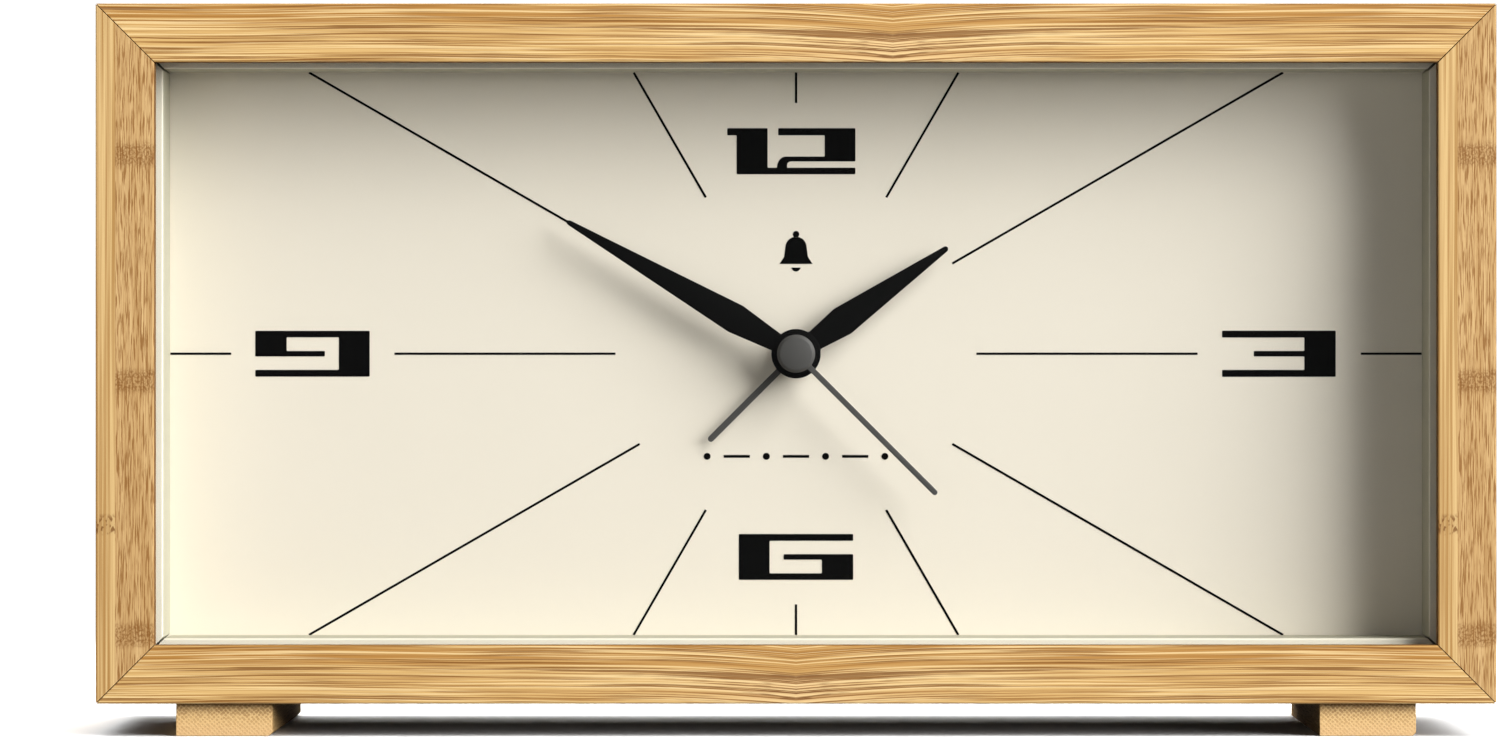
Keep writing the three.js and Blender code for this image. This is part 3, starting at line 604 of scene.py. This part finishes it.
def prism(name, outline, start, end, to_place):
    """A solid between an outline's copies at start and end. to_place turns (point, t) into a place."""
    bm = bmesh.new()
    rings = []
    for t in (start, end):
        rings.append([bm.verts.new(Vector(to_place(point, t)) * MM) for point in outline])
    bm.faces.new(rings[0])
    bm.faces.new(rings[1])
    skin(bm, rings)
    return mesh_from(bm, name)


def plate(name, outlines, front, back, ease=0.0, segments=2):
    """A flat piece between y = front and back from closed outlines in x and z, the inner ones holes."""
    curve = bpy.data.curves.new(name, "CURVE")
    curve.dimensions = "2D"
    curve.fill_mode = "BOTH"
    curve.extrude = ((back - front) / 2 - ease) * MM
    curve.bevel_depth = ease * MM
    curve.bevel_resolution = segments
    curve.offset = -ease * MM
    for outline in outlines:
        spline = curve.splines.new("POLY")
        spline.points.add(len(outline) - 1)
        spline.use_cyclic_u = True
        for point, (x, z) in zip(spline.points, outline):
            point.co = (x * MM, z * MM, 0, 1)
    mesh = mesh_of(linked(name, curve))
    middle = Vector((0, (front + back) / 2 * MM, 0))
    mesh.transform(Matrix.Translation(middle) @ Matrix.Rotation(math.pi / 2, 4, "X"))
    bm = bmesh.new()
    bm.from_mesh(mesh)
    bmesh.ops.remove_doubles(bm, verts=bm.verts, dist=0.002 * MM)
    mesh = mesh_from(bm, name)
    mesh.materials.clear()
    return creased(mesh)


def turned(name, profile, centre, axis="Y", sides=64):
    """A turned piece from [radius, height] points, around a line along an axis through centre."""
    bm = bmesh.new()
    rings = []
    for radius, height in profile:
        if radius == 0:
            rings.append([bm.verts.new((0, 0, height * MM))] * sides)
            continue
        ring = []
        for i in range(sides):
            angle = 2 * math.pi * i / sides
            ring.append(bm.verts.new((radius * math.cos(angle) * MM, radius * math.sin(angle) * MM,
                                      height * MM)))
        rings.append(ring)
    skin(bm, rings)
    turn = Matrix.Rotation(-math.pi / 2, 4, "X") if axis == "Y" else Matrix.Rotation(math.pi / 2, 4, "Y")
    bm.transform(Matrix.Translation(Vector(centre) * MM) @ turn)
    return creased(mesh_from(bm, name))


def ring(radius, steps=48, centre=(0, 0)):
    points = []
    for i in range(steps):
        angle = 2 * math.pi * i / steps
        points.append((centre[0] + radius * math.cos(angle), centre[1] + radius * math.sin(angle)))
    return points


def arc(centre, radius, start, end, steps=8):
    """Points on an arc from start to end degrees. radius may be one number or an x and z pair."""
    across, up = radius if isinstance(radius, tuple) else (radius, radius)
    points = []
    for i in range(steps + 1):
        angle = math.radians(start + (end - start) * i / steps)
        points.append((centre[0] + across * math.cos(angle), centre[1] + up * math.sin(angle)))
    return points


def moved(points, x, z):
    return [(x + px, z + pz) for px, pz in points]


def rounded(points, radius, steps=4):
    """A closed outline whose corners are rounded, unless a side is too short for it."""
    result = []
    for i, point in enumerate(points):
        here = Vector(point)
        before = Vector(points[i - 1]) - here
        after = Vector(points[(i + 1) % len(points)]) - here
        turn = before.angle(after)
        reach = radius / math.tan(turn / 2)
        if turn > math.radians(150) or reach > 0.5 * min(before.length, after.length):
            result.append(point)
            continue
        start = here + before.normalized() * reach
        end = here + after.normalized() * reach
        for step in range(steps + 1):
            t = step / steps
            curve = start * (1 - t) ** 2 + here * 2 * t * (1 - t) + end * t ** 2
            result.append((curve.x, curve.y))
    return result


def clock_turn(points, degrees):
    """Points given pointing at 12, turned clockwise about the hub and put at its height."""
    angle = math.radians(degrees)
    result = []
    for x, z in points:
        result.append((x * math.cos(angle) + z * math.sin(angle),
                       HUB_Z - x * math.sin(angle) + z * math.cos(angle)))
    return result


def bell(x, z, size):
    """A bell with its clapper, as closed outlines."""
    body = [(-2.1, 0), (2.1, 0), (1.5, 0.9), *arc((0, 2.1), 1.35, 0, 180, 10), (-1.5, 0.9)]
    clapper = arc((0, -0.35), 0.6, 190, 350, 6)
    top = ring(0.42, 16, (0, 3.75))
    outlines = []
    for outline in (body, clapper, top):
        outlines.append([(x + size * px, z + size * pz) for px, pz in outline])
    return outlines


def box_outline(left, right, bottom, top, radius=0.0):
    outline = [(left, bottom), (right, bottom), (right, top), (left, top)]
    return rounded(outline, radius) if radius else outline


def cut(mesh, cutter):
    """The mesh with another closed mesh taken away from it."""
    tool = linked("cutter", cutter)
    result = settled(mesh, ("BOOLEAN", {"operation": "DIFFERENCE", "solver": "EXACT", "object": tool}))
    bpy.data.objects.remove(tool)
    return creased(result)


def wire(name, points, radius):
    """A round wire along points in millimetres."""
    curve = bpy.data.curves.new(name, "CURVE")
    curve.dimensions = "3D"
    curve.bevel_depth = radius * MM
    curve.bevel_resolution = 3
    curve.use_fill_caps = True
    spline = curve.splines.new("POLY")
    spline.points.add(len(points) - 1)
    for point, place in zip(spline.points, points):
        point.co = (*(Vector(place) * MM), 1)
    mesh = mesh_of(linked(name, curve))
    mesh.shade_smooth()
    return mesh


def set_grain(mesh, to_grain):
    """Stores the place along, across and into the board for every vertex."""
    values = mesh.attributes.new("grain", "FLOAT_VECTOR", "POINT")
    for vertex in mesh.vertices:
        values.data[vertex.index].vector = to_grain(vertex.co / MM)


def set_finishes(mesh, materials, choose):
    """Gives every face the material whose number choose(face) returns."""
    mesh.materials.clear()
    for material in materials:
        mesh.materials.append(material)
    for face in mesh.polygons:
        face.material_index = choose(face)


# Case


def sides_of(left, right, bottom, top):
    """For each side of a rectangle: its length, and what turns places along and across it into x, z."""
    middle_x = (left + right) / 2
    middle_z = (bottom + top) / 2
    return {
        "top": (right - left, lambda along, across: (middle_x + along, top - across)),
        "bottom": (right - left, lambda along, across: (middle_x + along, bottom + across)),
        "left": (top - bottom, lambda along, across: (left + across, middle_z + along)),
        "right": (top - bottom, lambda along, across: (right - across, middle_z + along)),
    }


def mitred(name, outline, side, gap):
    """A strip with mitred ends and eased edges. Its outline is places across it and y."""
    length, to_place = side
    bm = bmesh.new()
    rings = []
    for end in (-1, 1):
        verts = []
        for across, depth in outline:
            x, z = to_place(end * (length / 2 - across - gap), across)
            verts.append(bm.verts.new(Vector((x, depth, z)) * MM))
        rings.append(verts)
        bm.faces.new(verts)
    skin(bm, rings)
    weight = bm.edges.layers.float.new("bevel_weight_edge")
    for i in range(len(outline)):
        j = (i + 1) % len(outline)
        for verts in rings:
            bm.edges.get((verts[i], verts[j]))[weight] = MITRE_EASE / EDGE_EASE
        bm.edges.get((rings[0][i], rings[1][i]))[weight] = 1.0
    return eased(mesh_from(bm, name), EDGE_EASE, weights=True)


def case_board(name, side, to_grain, front_finish, inward, seed):
    """One mitred board: a thin lip in front of a rabbet for the glass and dial."""
    outline = [(0, FRONT), (LIP, FRONT), (LIP, LIP_BACK), (BOARD, LIP_BACK), (BOARD, BACK), (0, BACK)]
    mesh = mitred(f"bamboo_{name}", outline, side, MITRE_GAP)
    set_grain(mesh, to_grain)
    finishes = [front_finish, face_grain(f"bamboo_face_{name}", seed), FINISHES["bamboo_shade"]]

    def choose(face):
        if abs(face.normal.y) > 0.7:
            return 0
        # Inward faces and mitre faces take the darker bamboo copy, painted shade where the case shades
        # itself
        in_mitre = max(abs(face.normal.x), abs(face.normal.z)) < 0.75
        return 2 if in_mitre or face.normal.dot(inward) > 0.5 else 1

    set_finishes(mesh, finishes, choose)
    piece_from(f"bamboo_{name}", mesh, "case_bamboo", "case", f"case_{name}")


def make_case():
    sides = sides_of(LEFT, RIGHT, BOTTOM, TOP)
    middle_z = (TOP + BOTTOM) / 2
    flat_nodes = [28.4, -3.9, -40.2]
    edge_nodes = [-24.4]
    case_board("top", sides["top"], lambda p: (p.x, TOP - p.z, p.y + BACK),
               edge_grain("bamboo_edge_top", 4, TOP_NODE), Vector((0, 0, -1)), 11)
    case_board("bottom", sides["bottom"], lambda p: (p.x, BOTTOM + LIP - p.z, p.y + BACK),
               edge_grain("bamboo_edge_bottom", 4, 0), Vector((0, 0, 1)), 31)
    case_board("left", sides["left"], lambda p: (p.z - middle_z, p.x - LEFT, p.y + BACK),
               side_grain("bamboo_side_left", 50, flat_nodes, edge_nodes), Vector((1, 0, 0)), 51)
    case_board("right", sides["right"], lambda p: (p.z - middle_z, p.x - RIGHT + LIP, p.y + BACK),
               side_grain("bamboo_side_right", 50, flat_nodes, edge_nodes), Vector((-1, 0, 0)), 71)


def make_spacers():
    """Mitred strips between the glass and the dial, with a darker grey copy of their cream on their cut
    edges as painted shade.
    """
    top_low, top_high = corners("spacer_top")
    right_high = corners("spacer_right")[1]
    left_low = corners("spacer_left")[0]
    bottom_low = corners("spacer_bottom")[0]
    thickness = top_high.z - top_low.z
    outline = [(0, top_low.y), (thickness, top_low.y), (thickness, top_high.y), (0, top_high.y)]
    sides = sides_of(left_low.x, right_high.x, bottom_low.z, top_high.z)
    for name, side in sides.items():
        mesh = mitred(f"spacer_strip_{name}", outline, side, right_high.x - top_high.x)
        set_finishes(mesh, [FINISHES["cream_spacer"], FINISHES["spacer_edge"]],
                     lambda face: 0 if abs(face.normal.y) > 0.7 else 1)
        piece_from(f"spacer_strip_{name}", mesh, "cream_spacer", "case", f"spacer_{name}")


def make_feet():
    """Block feet with sawn ends to the front, and a small chamfer low on the +x side."""
    ends = end_grain("bamboo_end")
    for index, side in enumerate(("left", "right")):
        low, high = corners(f"foot_{side}")
        top = BOTTOM - 0.02
        outline = [(low.x, 0), (high.x - FOOT_CHAMFER, 0), (high.x, FOOT_CHAMFER), (high.x, top),
                   (low.x, top)]
        mesh = prism(f"bamboo_foot_{side}", outline, low.y, high.y,
                     lambda point, t: (point[0], t, point[1]))
        mesh = eased(mesh, FOOT_EASE)
        set_grain(mesh, lambda p: (p.y, p.x, p.z * 3))
        sides = face_grain(f"bamboo_foot_face_{side}", 90 + 7 * index)
        set_finishes(mesh, [ends, sides], lambda face: 0 if abs(face.normal.y) > 0.7 else 1)
        piece_from(f"bamboo_foot_{side}", mesh, "foot_bamboo", "case", f"foot_{side}")


# Dial print


def print_on_dial(name, outlines):
    mesh = plate(name, outlines, DIAL_FACE - INK_THICKNESS, DIAL_FACE)
    piece_from(name, mesh, "black_hand", "case", finish=FINISHES["ink"])


def make_hour_lines():
    """Lines on the hour rays from the inner circle to the dial's border, left out under numerals."""
    half = LINE_WIDTH / 2
    lines = []
    for hour in range(1, 13):
        angle = math.radians(30 * hour)
        reach = 1e9
        if abs(math.sin(angle)) > 1e-6:
            reach = DIAL_HALF_WIDTH / abs(math.sin(angle))
        if abs(math.cos(angle)) > 1e-6:
            reach = min(reach, DIAL_HALF_HEIGHT / abs(math.cos(angle)))
        if hour in (3, 9):
            spans = [(LINE_START, NUMERAL_GAP[0]), (NUMERAL_GAP[1], reach)]
        elif hour in (6, 12):
            spans = [(STUB_START, reach)]
        else:
            spans = [(LINE_START, reach)]
        for start, end in spans:
            bar = [(-half, start), (half, start), (half, end), (-half, end)]
            lines.append(clock_turn(bar, 30 * hour))
    print_on_dial("hour_lines", lines)


def numeral_three():
    return [(0, 0), (16.5, 0), (16.5, 6.7), (0, 6.7), (0, 5.7), (11.95, 5.7), (11.95, 3.75),
            (4.6, 3.75), (4.6, 2.95), (11.95, 2.95), (11.95, 1.0), (0, 1.0)]


def numeral_six():
    return [(0, 0), (16.6, 0), (16.6, 3.72), (6.5, 3.72), (6.5, 2.93), (12.05, 2.93), (12.05, 0.94),
            (4.46, 0.94), (4.46, 5.67), (16.6, 5.67), (16.6, 6.65), (0, 6.65)]


def numeral_nine():
    """A six turned half round."""
    return [(16.6 - x, 6.65 - z) for x, z in numeral_six()]


def numeral_twelve():
    one = [(-1.37, 5.65), (0, 5.65), (0, 0), (17.24, 0), (17.24, 0.95), (4.49, 0.95), (4.49, 6.69),
           (-1.37, 6.69)]
    two = [*arc((7.13, 0.9), (1.3, 1.67), 180, 90), (12.78, 2.57), (12.78, 5.65), (6.02, 5.65),
           (6.02, 6.69), (17.24, 6.69), (17.24, 1.86), *arc((7.97, 1.38), (0.64, 0.48), 90, 180, 5),
           (7.33, 0.9)]
    return {"one": one, "two": two}


def make_numerals():
    outlines = {"3": numeral_three(), "6": numeral_six(), "9": numeral_nine()}
    for name, outline in outlines.items():
        width = max(x for x, z in outline)
        height = max(z for x, z in outline)
        reach = NUMERAL_REACH[name]
        centre_x = {"3": reach, "6": 0, "9": -reach}[name]
        centre_z = {"3": 0, "6": -reach, "9": 0}[name]
        shifted = moved(outline, centre_x - width / 2, HUB_Z + centre_z - height / 2)
        print_on_dial(f"numeral_{name}", [rounded(shifted, NUMERAL_EASE)])
    width, height = TWELVE_SIZE
    for part, outline in numeral_twelve().items():
        shifted = moved(outline, -width / 2, HUB_Z + NUMERAL_REACH["12"] - height / 2)
        print_on_dial(f"numeral_12_{part}", [rounded(shifted, NUMERAL_EASE)])


def make_motifs():
    """A bell above the hands, and a row of dots and dashes below them."""
    print_on_dial("bell_motif", bell(0, HUB_Z + BELL_AT - 1.8 * BELL_SIZE, BELL_SIZE))
    row = []
    for i in range(-3, 4):
        x = i * MOTIF_PITCH
        if i % 2:
            row.append(ring(0.5, 20, (x, HUB_Z - MOTIF_AT)))
        else:
            row.append(box_outline(x - 1.9, x + 1.9, HUB_Z - MOTIF_AT - 0.2, HUB_Z - MOTIF_AT + 0.2))
    print_on_dial("dash_motif", row)


# Hands


def leaf(hand):
    neck, belly, tip = hand["neck"], hand["belly"], hand["tip"]
    end = arc((0, hand["length"] - tip), tip, 0, 180, 6)
    left = [(-belly, hand["belly_at"]), (-neck, NECK_AT)]
    hub = arc((0, 0), HUB_RADIUS, 90 + 24, 360 + 90 - 24, 40)
    return [*end, *left, *hub, (neck, NECK_AT), (belly, hand["belly_at"])]


def bar(hand):
    half = hand["width"] / 2
    end = arc((0, hand["length"] - half), half, 0, 180, 6)
    opening = math.degrees(math.asin(half / hand["hub"]))
    hub = arc((0, 0), hand["hub"], 90 + opening, 360 + 90 - opening, 36)
    return [*end, *hub]


def make_hands():
    shapes = (("hour", HOUR, leaf(HOUR), 1.75, "black_hand"),
              ("minute", MINUTE, leaf(MINUTE), 1.15, "black_hand"),
              ("second", SECOND, bar(SECOND), 0.6, "grey_hand"),
              ("alarm", ALARM, bar(ALARM), 2.4, "grey_hand"))
    for name, hand, outline, bore, slot in shapes:
        node = f"{name}_hand"
        low, high = corners(node)
        outlines = [clock_turn(outline, hand["angle"]), moved(ring(bore), 0, HUB_Z)]
        mesh = plate(f"{name}_hand_blade", outlines, low.y, high.y, HAND_EASE)
        piece_from(f"{name}_hand_blade", mesh, slot, name, node)
    make_cap()


def make_cap():
    """The second hand's cap: a low drum with a chamfered rim."""
    radius = (CAP_HIGH.x - CAP_LOW.x) / 2
    back = CAP_HIGH.y
    front = CAP_LOW.y
    profile = [(0, back), (radius - 0.08, back), (radius, back - 0.08), (radius, front + 0.42),
               (radius - 0.08, front + 0.34), (radius - 0.4, front + 0.04), (radius - 0.5, front),
               (0, front)]
    mesh = turned("second_cap", profile[::-1], (0, 0, HUB_Z))
    piece_from("second_cap", mesh, "grey_hand", "second", "second_hand_cap")


# Back and movement


def make_back_panel():
    """A black board with a round-cornered window for the movement."""
    low, high = corners("back_panel")
    middle = (HOUSING_LOW.z + HOUSING_HIGH.z) / 2
    half = HOUSING_HIGH.x + WINDOW_MARGIN
    outer = box_outline(low.x, high.x, low.z, high.z, 0.8)
    window = box_outline(-half, half, middle - half, middle + half, 2.4)
    mesh = plate("rear_board", [outer, window], low.y, high.y, 0.35, 3)
    piece_from("rear_board", mesh, "black_panel", "case", "back_panel")


def cross_outline(reach, half):
    """A plus sign of four arms."""
    quarter = [(half, half), (half, reach), (-half, reach)]
    points = []
    for turn in range(4):
        for x, z in quarter:
            for _ in range(turn):
                x, z = -z, x
            points.append((x, z))
    return points


def screw(node, body, shank, head_height):
    """A pan-head screw with a cross recess and a thread, its head to the back."""
    low, high = corners(node)
    radius = (high.x - low.x) / 2
    x, _, z = centre_of(node)
    under = high.y - head_height
    profile = [(0, low.y), (0.35 * shank, low.y + 0.1)]
    turns = int((under - low.y - 1.2) / THREAD_PITCH)
    for i in range(turns):
        height = low.y + 1 + i * THREAD_PITCH
        profile += [(0.78 * shank, height), (shank, height + 0.4 * THREAD_PITCH)]
    profile += [(0.85 * shank, under), (0.94 * radius, under), (radius, under + 0.12 * head_height)]
    for i in range(9):
        angle = math.radians(10 * i + 4)
        profile.append((radius * math.cos(angle) ** 0.6,
                        under + head_height * (0.3 + 0.7 * math.sin(angle))))
    profile.append((0, high.y))
    name = f"{node}_pan_head"
    mesh = turned(name, profile, (x, 0, z), sides=48)
    recess = cross_outline(0.52 * radius, 0.11 * radius)

    def to_place(point, t):
        scale = 0.45 if t == 0 else 1.1
        depth = high.y - 0.72 * head_height if t == 0 else high.y + 0.3
        return x + point[0] * scale, depth, z + point[1] * scale

    mesh = cut(mesh, prism(f"{name}_recess", recess, 0, 1, to_place))
    piece_from(name, mesh, "screw_steel", body, node)


def make_screws():
    for index in range(1, 5):
        screw(f"panel_screw_{index}", "case", 1.2, 1.5)
    for side in ("left", "right"):
        screw(f"movement_screw_{side}", "case", 0.8, 1.0)


def make_knob(node, body):
    """A fluted knob with a dished top and a raised pointer."""
    low, high = corners(node)
    x, _, z = centre_of(node)
    radius = (high.x - low.x) / 2
    height = high.y - low.y
    steps = KNOB_FLUTES * 10
    levels = [(0, 0.4, 0.2), (0.08, 0.1, 1), (0.1, 0.06, 1), (0.86, 0.2, 1), (0.93, 0.36, 0.8),
              (0.975, 0.6, 0.4), (1, 0.95, 0)]
    rows = [(radius - inset, low.y + share * height, fluting) for share, inset, fluting in levels]
    rows += [(reach, high.y - depth, 0) for reach, depth in ((3.7, 0), (3.5, 0.12), (3.3, 0.45))]
    bm = bmesh.new()
    rings = []
    for reach, y, fluting in rows:
        verts = []
        for i in range(steps):
            angle = 2 * math.pi * i / steps
            flute = (0.5 - 0.5 * math.cos(KNOB_FLUTES * angle)) ** 1.6 * KNOB_RIDGE * fluting
            verts.append(bm.verts.new(Vector((x + (reach - flute) * math.cos(angle), y,
                                              z + (reach - flute) * math.sin(angle))) * MM))
        rings.append(verts)
    skin(bm, rings)
    bm.faces.new(rings[0])
    bm.faces.new(rings[-1])
    name = f"{node}_fluted"
    piece_from(name, creased(mesh_from(bm, name), 38), "black_knob", body, node)
    pointer = [(-0.3, -2.6), (0.3, -2.6), (0.3, 1.2), (1.1, 1.2), (0, 2.8), (-1.1, 1.2), (-0.3, 1.2)]
    mark = plate(f"{node}_pointer", [moved(pointer, x, z)], high.y - 0.5, high.y - 0.12, 0.06)
    piece_from(f"{node}_pointer", mark, "black_knob", body)


def arrow_arc(centre, radius, start, end):
    """A curved arrow as a closed outline, its head at the end angle."""
    half = 0.28
    lead = 9 if end > start else -9
    tip = arc(centre, radius, end + lead, end + lead, 1)[0]
    wide = arc(centre, radius + 0.95, end, end, 1)[0]
    narrow = arc(centre, radius - 0.95, end, end, 1)[0]
    outer = arc(centre, radius + half, start, end, 14)
    inner = arc(centre, radius - half, end, start, 14)
    return [*outer, wide, tip, narrow, *inner]


def make_housing_marks():
    """Raised rings, arrows and signs moulded on the movement's back and in the battery bay."""
    face = HOUSING_HIGH.y
    for node, sweeps in (("time_set_knob", ((62, 28), (118, 152))), ("alarm_set_knob", ((50, 130),))):
        x, _, z = centre_of(node)
        centre = (x, z)
        rim = [ring(7.1, 64, centre), ring(6.3, 64, centre)]
        arrows = [arrow_arc(centre, 8.3, start, end) for start, end in sweeps]
        mesh = plate(f"{node}_ring", rim + arrows, face - 0.1, face + 0.3, 0.08)
        piece_from(f"{node}_ring", mesh, "black_housing", "case")
    x, _, z = centre_of("alarm_switch")
    bells = bell(x - 9.5, z - 1.4, 0.85)
    mesh = plate("bell_mark", bells, face - 0.1, face + 0.22, 0.05)
    piece_from("bell_mark", mesh, "black_housing", "case")
    cell_low, cell_high = corners("battery_cell")
    middle = centre_of("battery_cell").z
    floor = cell_low.y - 0.3
    plus = moved(cross_outline(2.2, 0.45), cell_high.x - 8, middle)
    minus = box_outline(cell_low.x + 5.5, cell_low.x + 9.9, middle - 0.45, middle + 0.45)
    mesh = plate("polarity_marks", [plus, minus], floor - 0.1, floor + 0.22, 0.04)
    piece_from("polarity_marks", mesh, "black_housing", "case")


def make_battery():
    """A cell with crimped shoulders and bare metal ends."""
    low, high = corners("battery_cell")
    radius = (high.y - low.y) / 2
    _, y, z = centre_of("battery_cell")
    shoulder = high.x - CELL_NUB
    profile = [(0, low.x + 0.25), (radius - 2.6, low.x + 0.25), (radius - 2.3, low.x),
               (radius - 0.9, low.x), (radius - 0.3, low.x + 0.2), (radius - 0.12, low.x + 0.7),
               (radius, low.x + 0.8),
               (radius, shoulder - 1.1), (radius - 0.12, shoulder - 1.0), (radius - 0.25, shoulder - 0.5),
               (radius - 0.8, shoulder - 0.1), (radius - 1.5, shoulder), (radius - 2.6, shoulder - 0.05),
               (3.3, shoulder - 0.35), (2.75, shoulder - 0.35), (2.75, high.x - 0.35),
               (2.5, high.x - 0.08), (2.1, high.x), (0, high.x)]
    mesh = turned("dry_cell", profile, (0, y, z), axis="X", sides=72)
    ends = FINISHES["crystal_steel"]

    def choose(face):
        along = face.center.x / MM
        return 0 if low.x + 0.75 < along < shoulder - 1.05 else 1

    set_finishes(mesh, [FINISHES["battery_jacket"], ends], choose)
    piece_from("dry_cell", mesh, "battery_jacket", "battery", "battery_cell")


def make_contacts():
    """A conical spring at the cell's flat end and a dimpled plate at its nub."""
    low, high = corners("battery_minus_contact")
    _, y, z = centre_of("battery_minus_contact")
    turns, steps = 2.5, 90
    points = []
    for i in range(steps + 1):
        share = i / steps
        angle = 2 * math.pi * turns * share
        reach = 3.5 - 2.1 * share
        points.append((low.x + 0.25 + (high.x - low.x - 0.5) * share, y + reach * math.cos(angle),
                       z + reach * math.sin(angle)))
    piece_from("contact_spring", wire("contact_spring", points, 0.22), "contact_brass", "case",
               "battery_minus_contact")
    low, high = corners("battery_plus_contact")
    outline = rounded([(low.y, low.z), (high.y, low.z), (high.y, high.z), (low.y, high.z)], 1.2)
    leaf_mesh = prism("contact_leaf", outline, low.x, high.x, lambda point, t: (t, point[0], point[1]))
    piece_from("contact_leaf", eased(leaf_mesh, 0.08, 2), "contact_brass", "case", "battery_plus_contact")
    dimple = [(0, low.x - 0.35), (0.9, low.x - 0.3), (1.5, low.x - 0.12), (1.9, low.x + 0.02),
              (0, low.x + 0.02)]
    mesh = turned("contact_dimple", dimple, (0, y, z), axis="X", sides=40)
    piece_from("contact_dimple", mesh, "contact_brass", "case")


def make_switch_ridges():
    """Three grip ridges across the switch's thumb pad."""
    x, _, z = centre_of("alarm_switch")
    face = corners("alarm_switch")[1].y
    ridges = [box_outline(x + dx - 0.25, x + dx + 0.25, z - 1.5, z + 1.5, 0.2) for dx in (-1.2, 0, 1.2)]
    mesh = plate("alarm_switch_ridges", ridges, face - 0.15, face + 0.35, 0.1)
    piece_from("alarm_switch_ridges", mesh, "switch_plastic", "switch")


# Everything that keeps its CAD shape


def soften_cad_nodes():
    """Rounds the edges of the CAD nodes in SOFTENED without moving them."""
    for node, width in SOFTENED.items():
        bevel = {"width": width * MM, "segments": 2, "limit_method": "ANGLE",
                 "angle_limit": math.radians(40), "use_clamp_overlap": True}
        modify(frame["nodes"][node], ("WELD", {"merge_threshold": 0.002 * MM}), ("BEVEL", bevel),
               ("WEIGHTED_NORMAL", {"weight": 50}))


def finish_cad_nodes():
    """Gives each CAD node the finish of its record slot."""
    for part in frame["record"]["subparts"]:
        node = frame["nodes"][part["node"]]
        slot = part["material_slot"]
        if slot in FINISHES:
            node.data.materials.clear()
            node.data.materials.append(FINISHES[slot])


# Stage


def make_camera():
    data = bpy.data.cameras.new("camera")
    data.lens = LENS
    data.shift_x, data.shift_y = SHIFT
    data.clip_start = 0.01
    camera = linked("camera", data)
    camera.location = (0, (FRONT - CAMERA_DISTANCE) * MM, HUB_Z * MM)
    camera.rotation_euler = (math.pi / 2, 0, 0)
    bpy.context.scene.camera = camera


def make_light(name, towards, distance, size, power, pieces=(), link="INCLUDE"):
    """A square soft light that faces the dial from a direction, on only or all but some pieces."""
    data = bpy.data.lights.new(name, "AREA")
    data.size = size
    data.energy = power
    light = linked(name, data)
    direction = Vector(towards).normalized()
    target = Vector((0, DIAL_FACE, HUB_Z)) * MM
    light.location = target + direction * distance
    light.rotation_euler = direction.to_track_quat("Z", "Y").to_euler()
    if pieces:
        group = bpy.data.collections.new(f"{name}_pieces")
        light.light_linking.receiver_collection = group
        for piece in pieces:
            group.objects.link(piece)
        for member in group.collection_objects:
            member.light_linking.link_state = link


def make_lights(floor):
    """A low key light for the dial, a more frontal one for the case, and fill for the other sides."""
    case = [piece for piece in bpy.data.objects if piece.name.startswith("bamboo_")]
    make_light("key", **KEY, pieces=case, link="EXCLUDE")
    make_light("case_key", **CASE_KEY, pieces=case)
    make_light("rear", **REAR)
    make_light("side", **SIDE, pieces=[floor], link="EXCLUDE")
    make_light("overhead", **OVERHEAD, pieces=[floor])
    make_light("front_fill", **FRONT_FILL)


def make_world():
    """White behind the clock, with a dimmer even light on it from all around."""
    world = bpy.data.worlds.new("studio")
    bpy.context.scene.world = world
    world.use_nodes = True
    tree = world.node_tree
    background = tree.nodes["Background"]
    background.inputs["Color"].default_value = (1, 1, 1, 1)
    path = tree.nodes.new("ShaderNodeLightPath")
    for_mirrors = tree.nodes.new("ShaderNodeMix")
    for_mirrors.inputs[2].default_value = AMBIENT
    for_mirrors.inputs[3].default_value = MIRRORED_AMBIENT
    tree.links.new(path.outputs["Is Glossy Ray"], for_mirrors.inputs[0])
    for_camera = tree.nodes.new("ShaderNodeMix")
    for_camera.inputs[3].default_value = BACKDROP
    tree.links.new(for_mirrors.outputs[0], for_camera.inputs[2])
    tree.links.new(path.outputs["Is Camera Ray"], for_camera.inputs[0])
    tree.links.new(for_camera.outputs[0], background.inputs["Strength"])


def make_floor():
    """A white floor that fades into the background away from the clock."""
    bm = bmesh.new()
    bmesh.ops.create_grid(bm, x_segments=8, y_segments=8, size=1.5)
    floor = linked("floor", mesh_from(bm, "floor"))
    finish = Finish("floor", Roughness=0.8)
    finish.set("Specular IOR Level", 0.1)
    place = finish.place()
    seen = finish.add("LightPath", output="Is Camera Ray")
    tone = finish.noise(place, 0.02, 2.0)
    white = finish.mix(tone, (0.93, 0.93, 0.93, 1), (0.96, 0.96, 0.96, 1))
    finish.paint(finish.mix(seen, (FLOOR_BOUNCE, FLOOR_BOUNCE, FLOOR_BOUNCE, 1), white))
    glow = finish.tree.nodes.new("ShaderNodeEmission")
    glow.inputs["Strength"].default_value = BACKDROP
    away = finish.add("VectorMath", [place], output="Value", operation="LENGTH")
    blend = finish.tree.nodes.new("ShaderNodeMixShader")
    finish.feed(blend.inputs[0], finish.times(seen, finish.ease(away, *FLOOR_FADE)))
    finish.feed(blend.inputs[1], finish.surface.outputs[0])
    finish.feed(blend.inputs[2], glow.outputs[0])
    finish.feed(finish.tree.nodes["Material Output"].inputs["Surface"], blend.outputs[0])
    floor.data.materials.append(finish.material)
    return floor


bpy.context.scene.view_settings.view_transform = "Standard"
make_camera()
make_world()
finish_cad_nodes()
make_case()
make_feet()
make_spacers()
make_hour_lines()
make_numerals()
make_motifs()
make_hands()
make_back_panel()
make_screws()
make_knob("time_set_knob", "time_set")
make_knob("alarm_set_knob", "alarm_set")
make_housing_marks()
make_battery()
make_contacts()
make_switch_ridges()
soften_cad_nodes()
make_lights(make_floor())
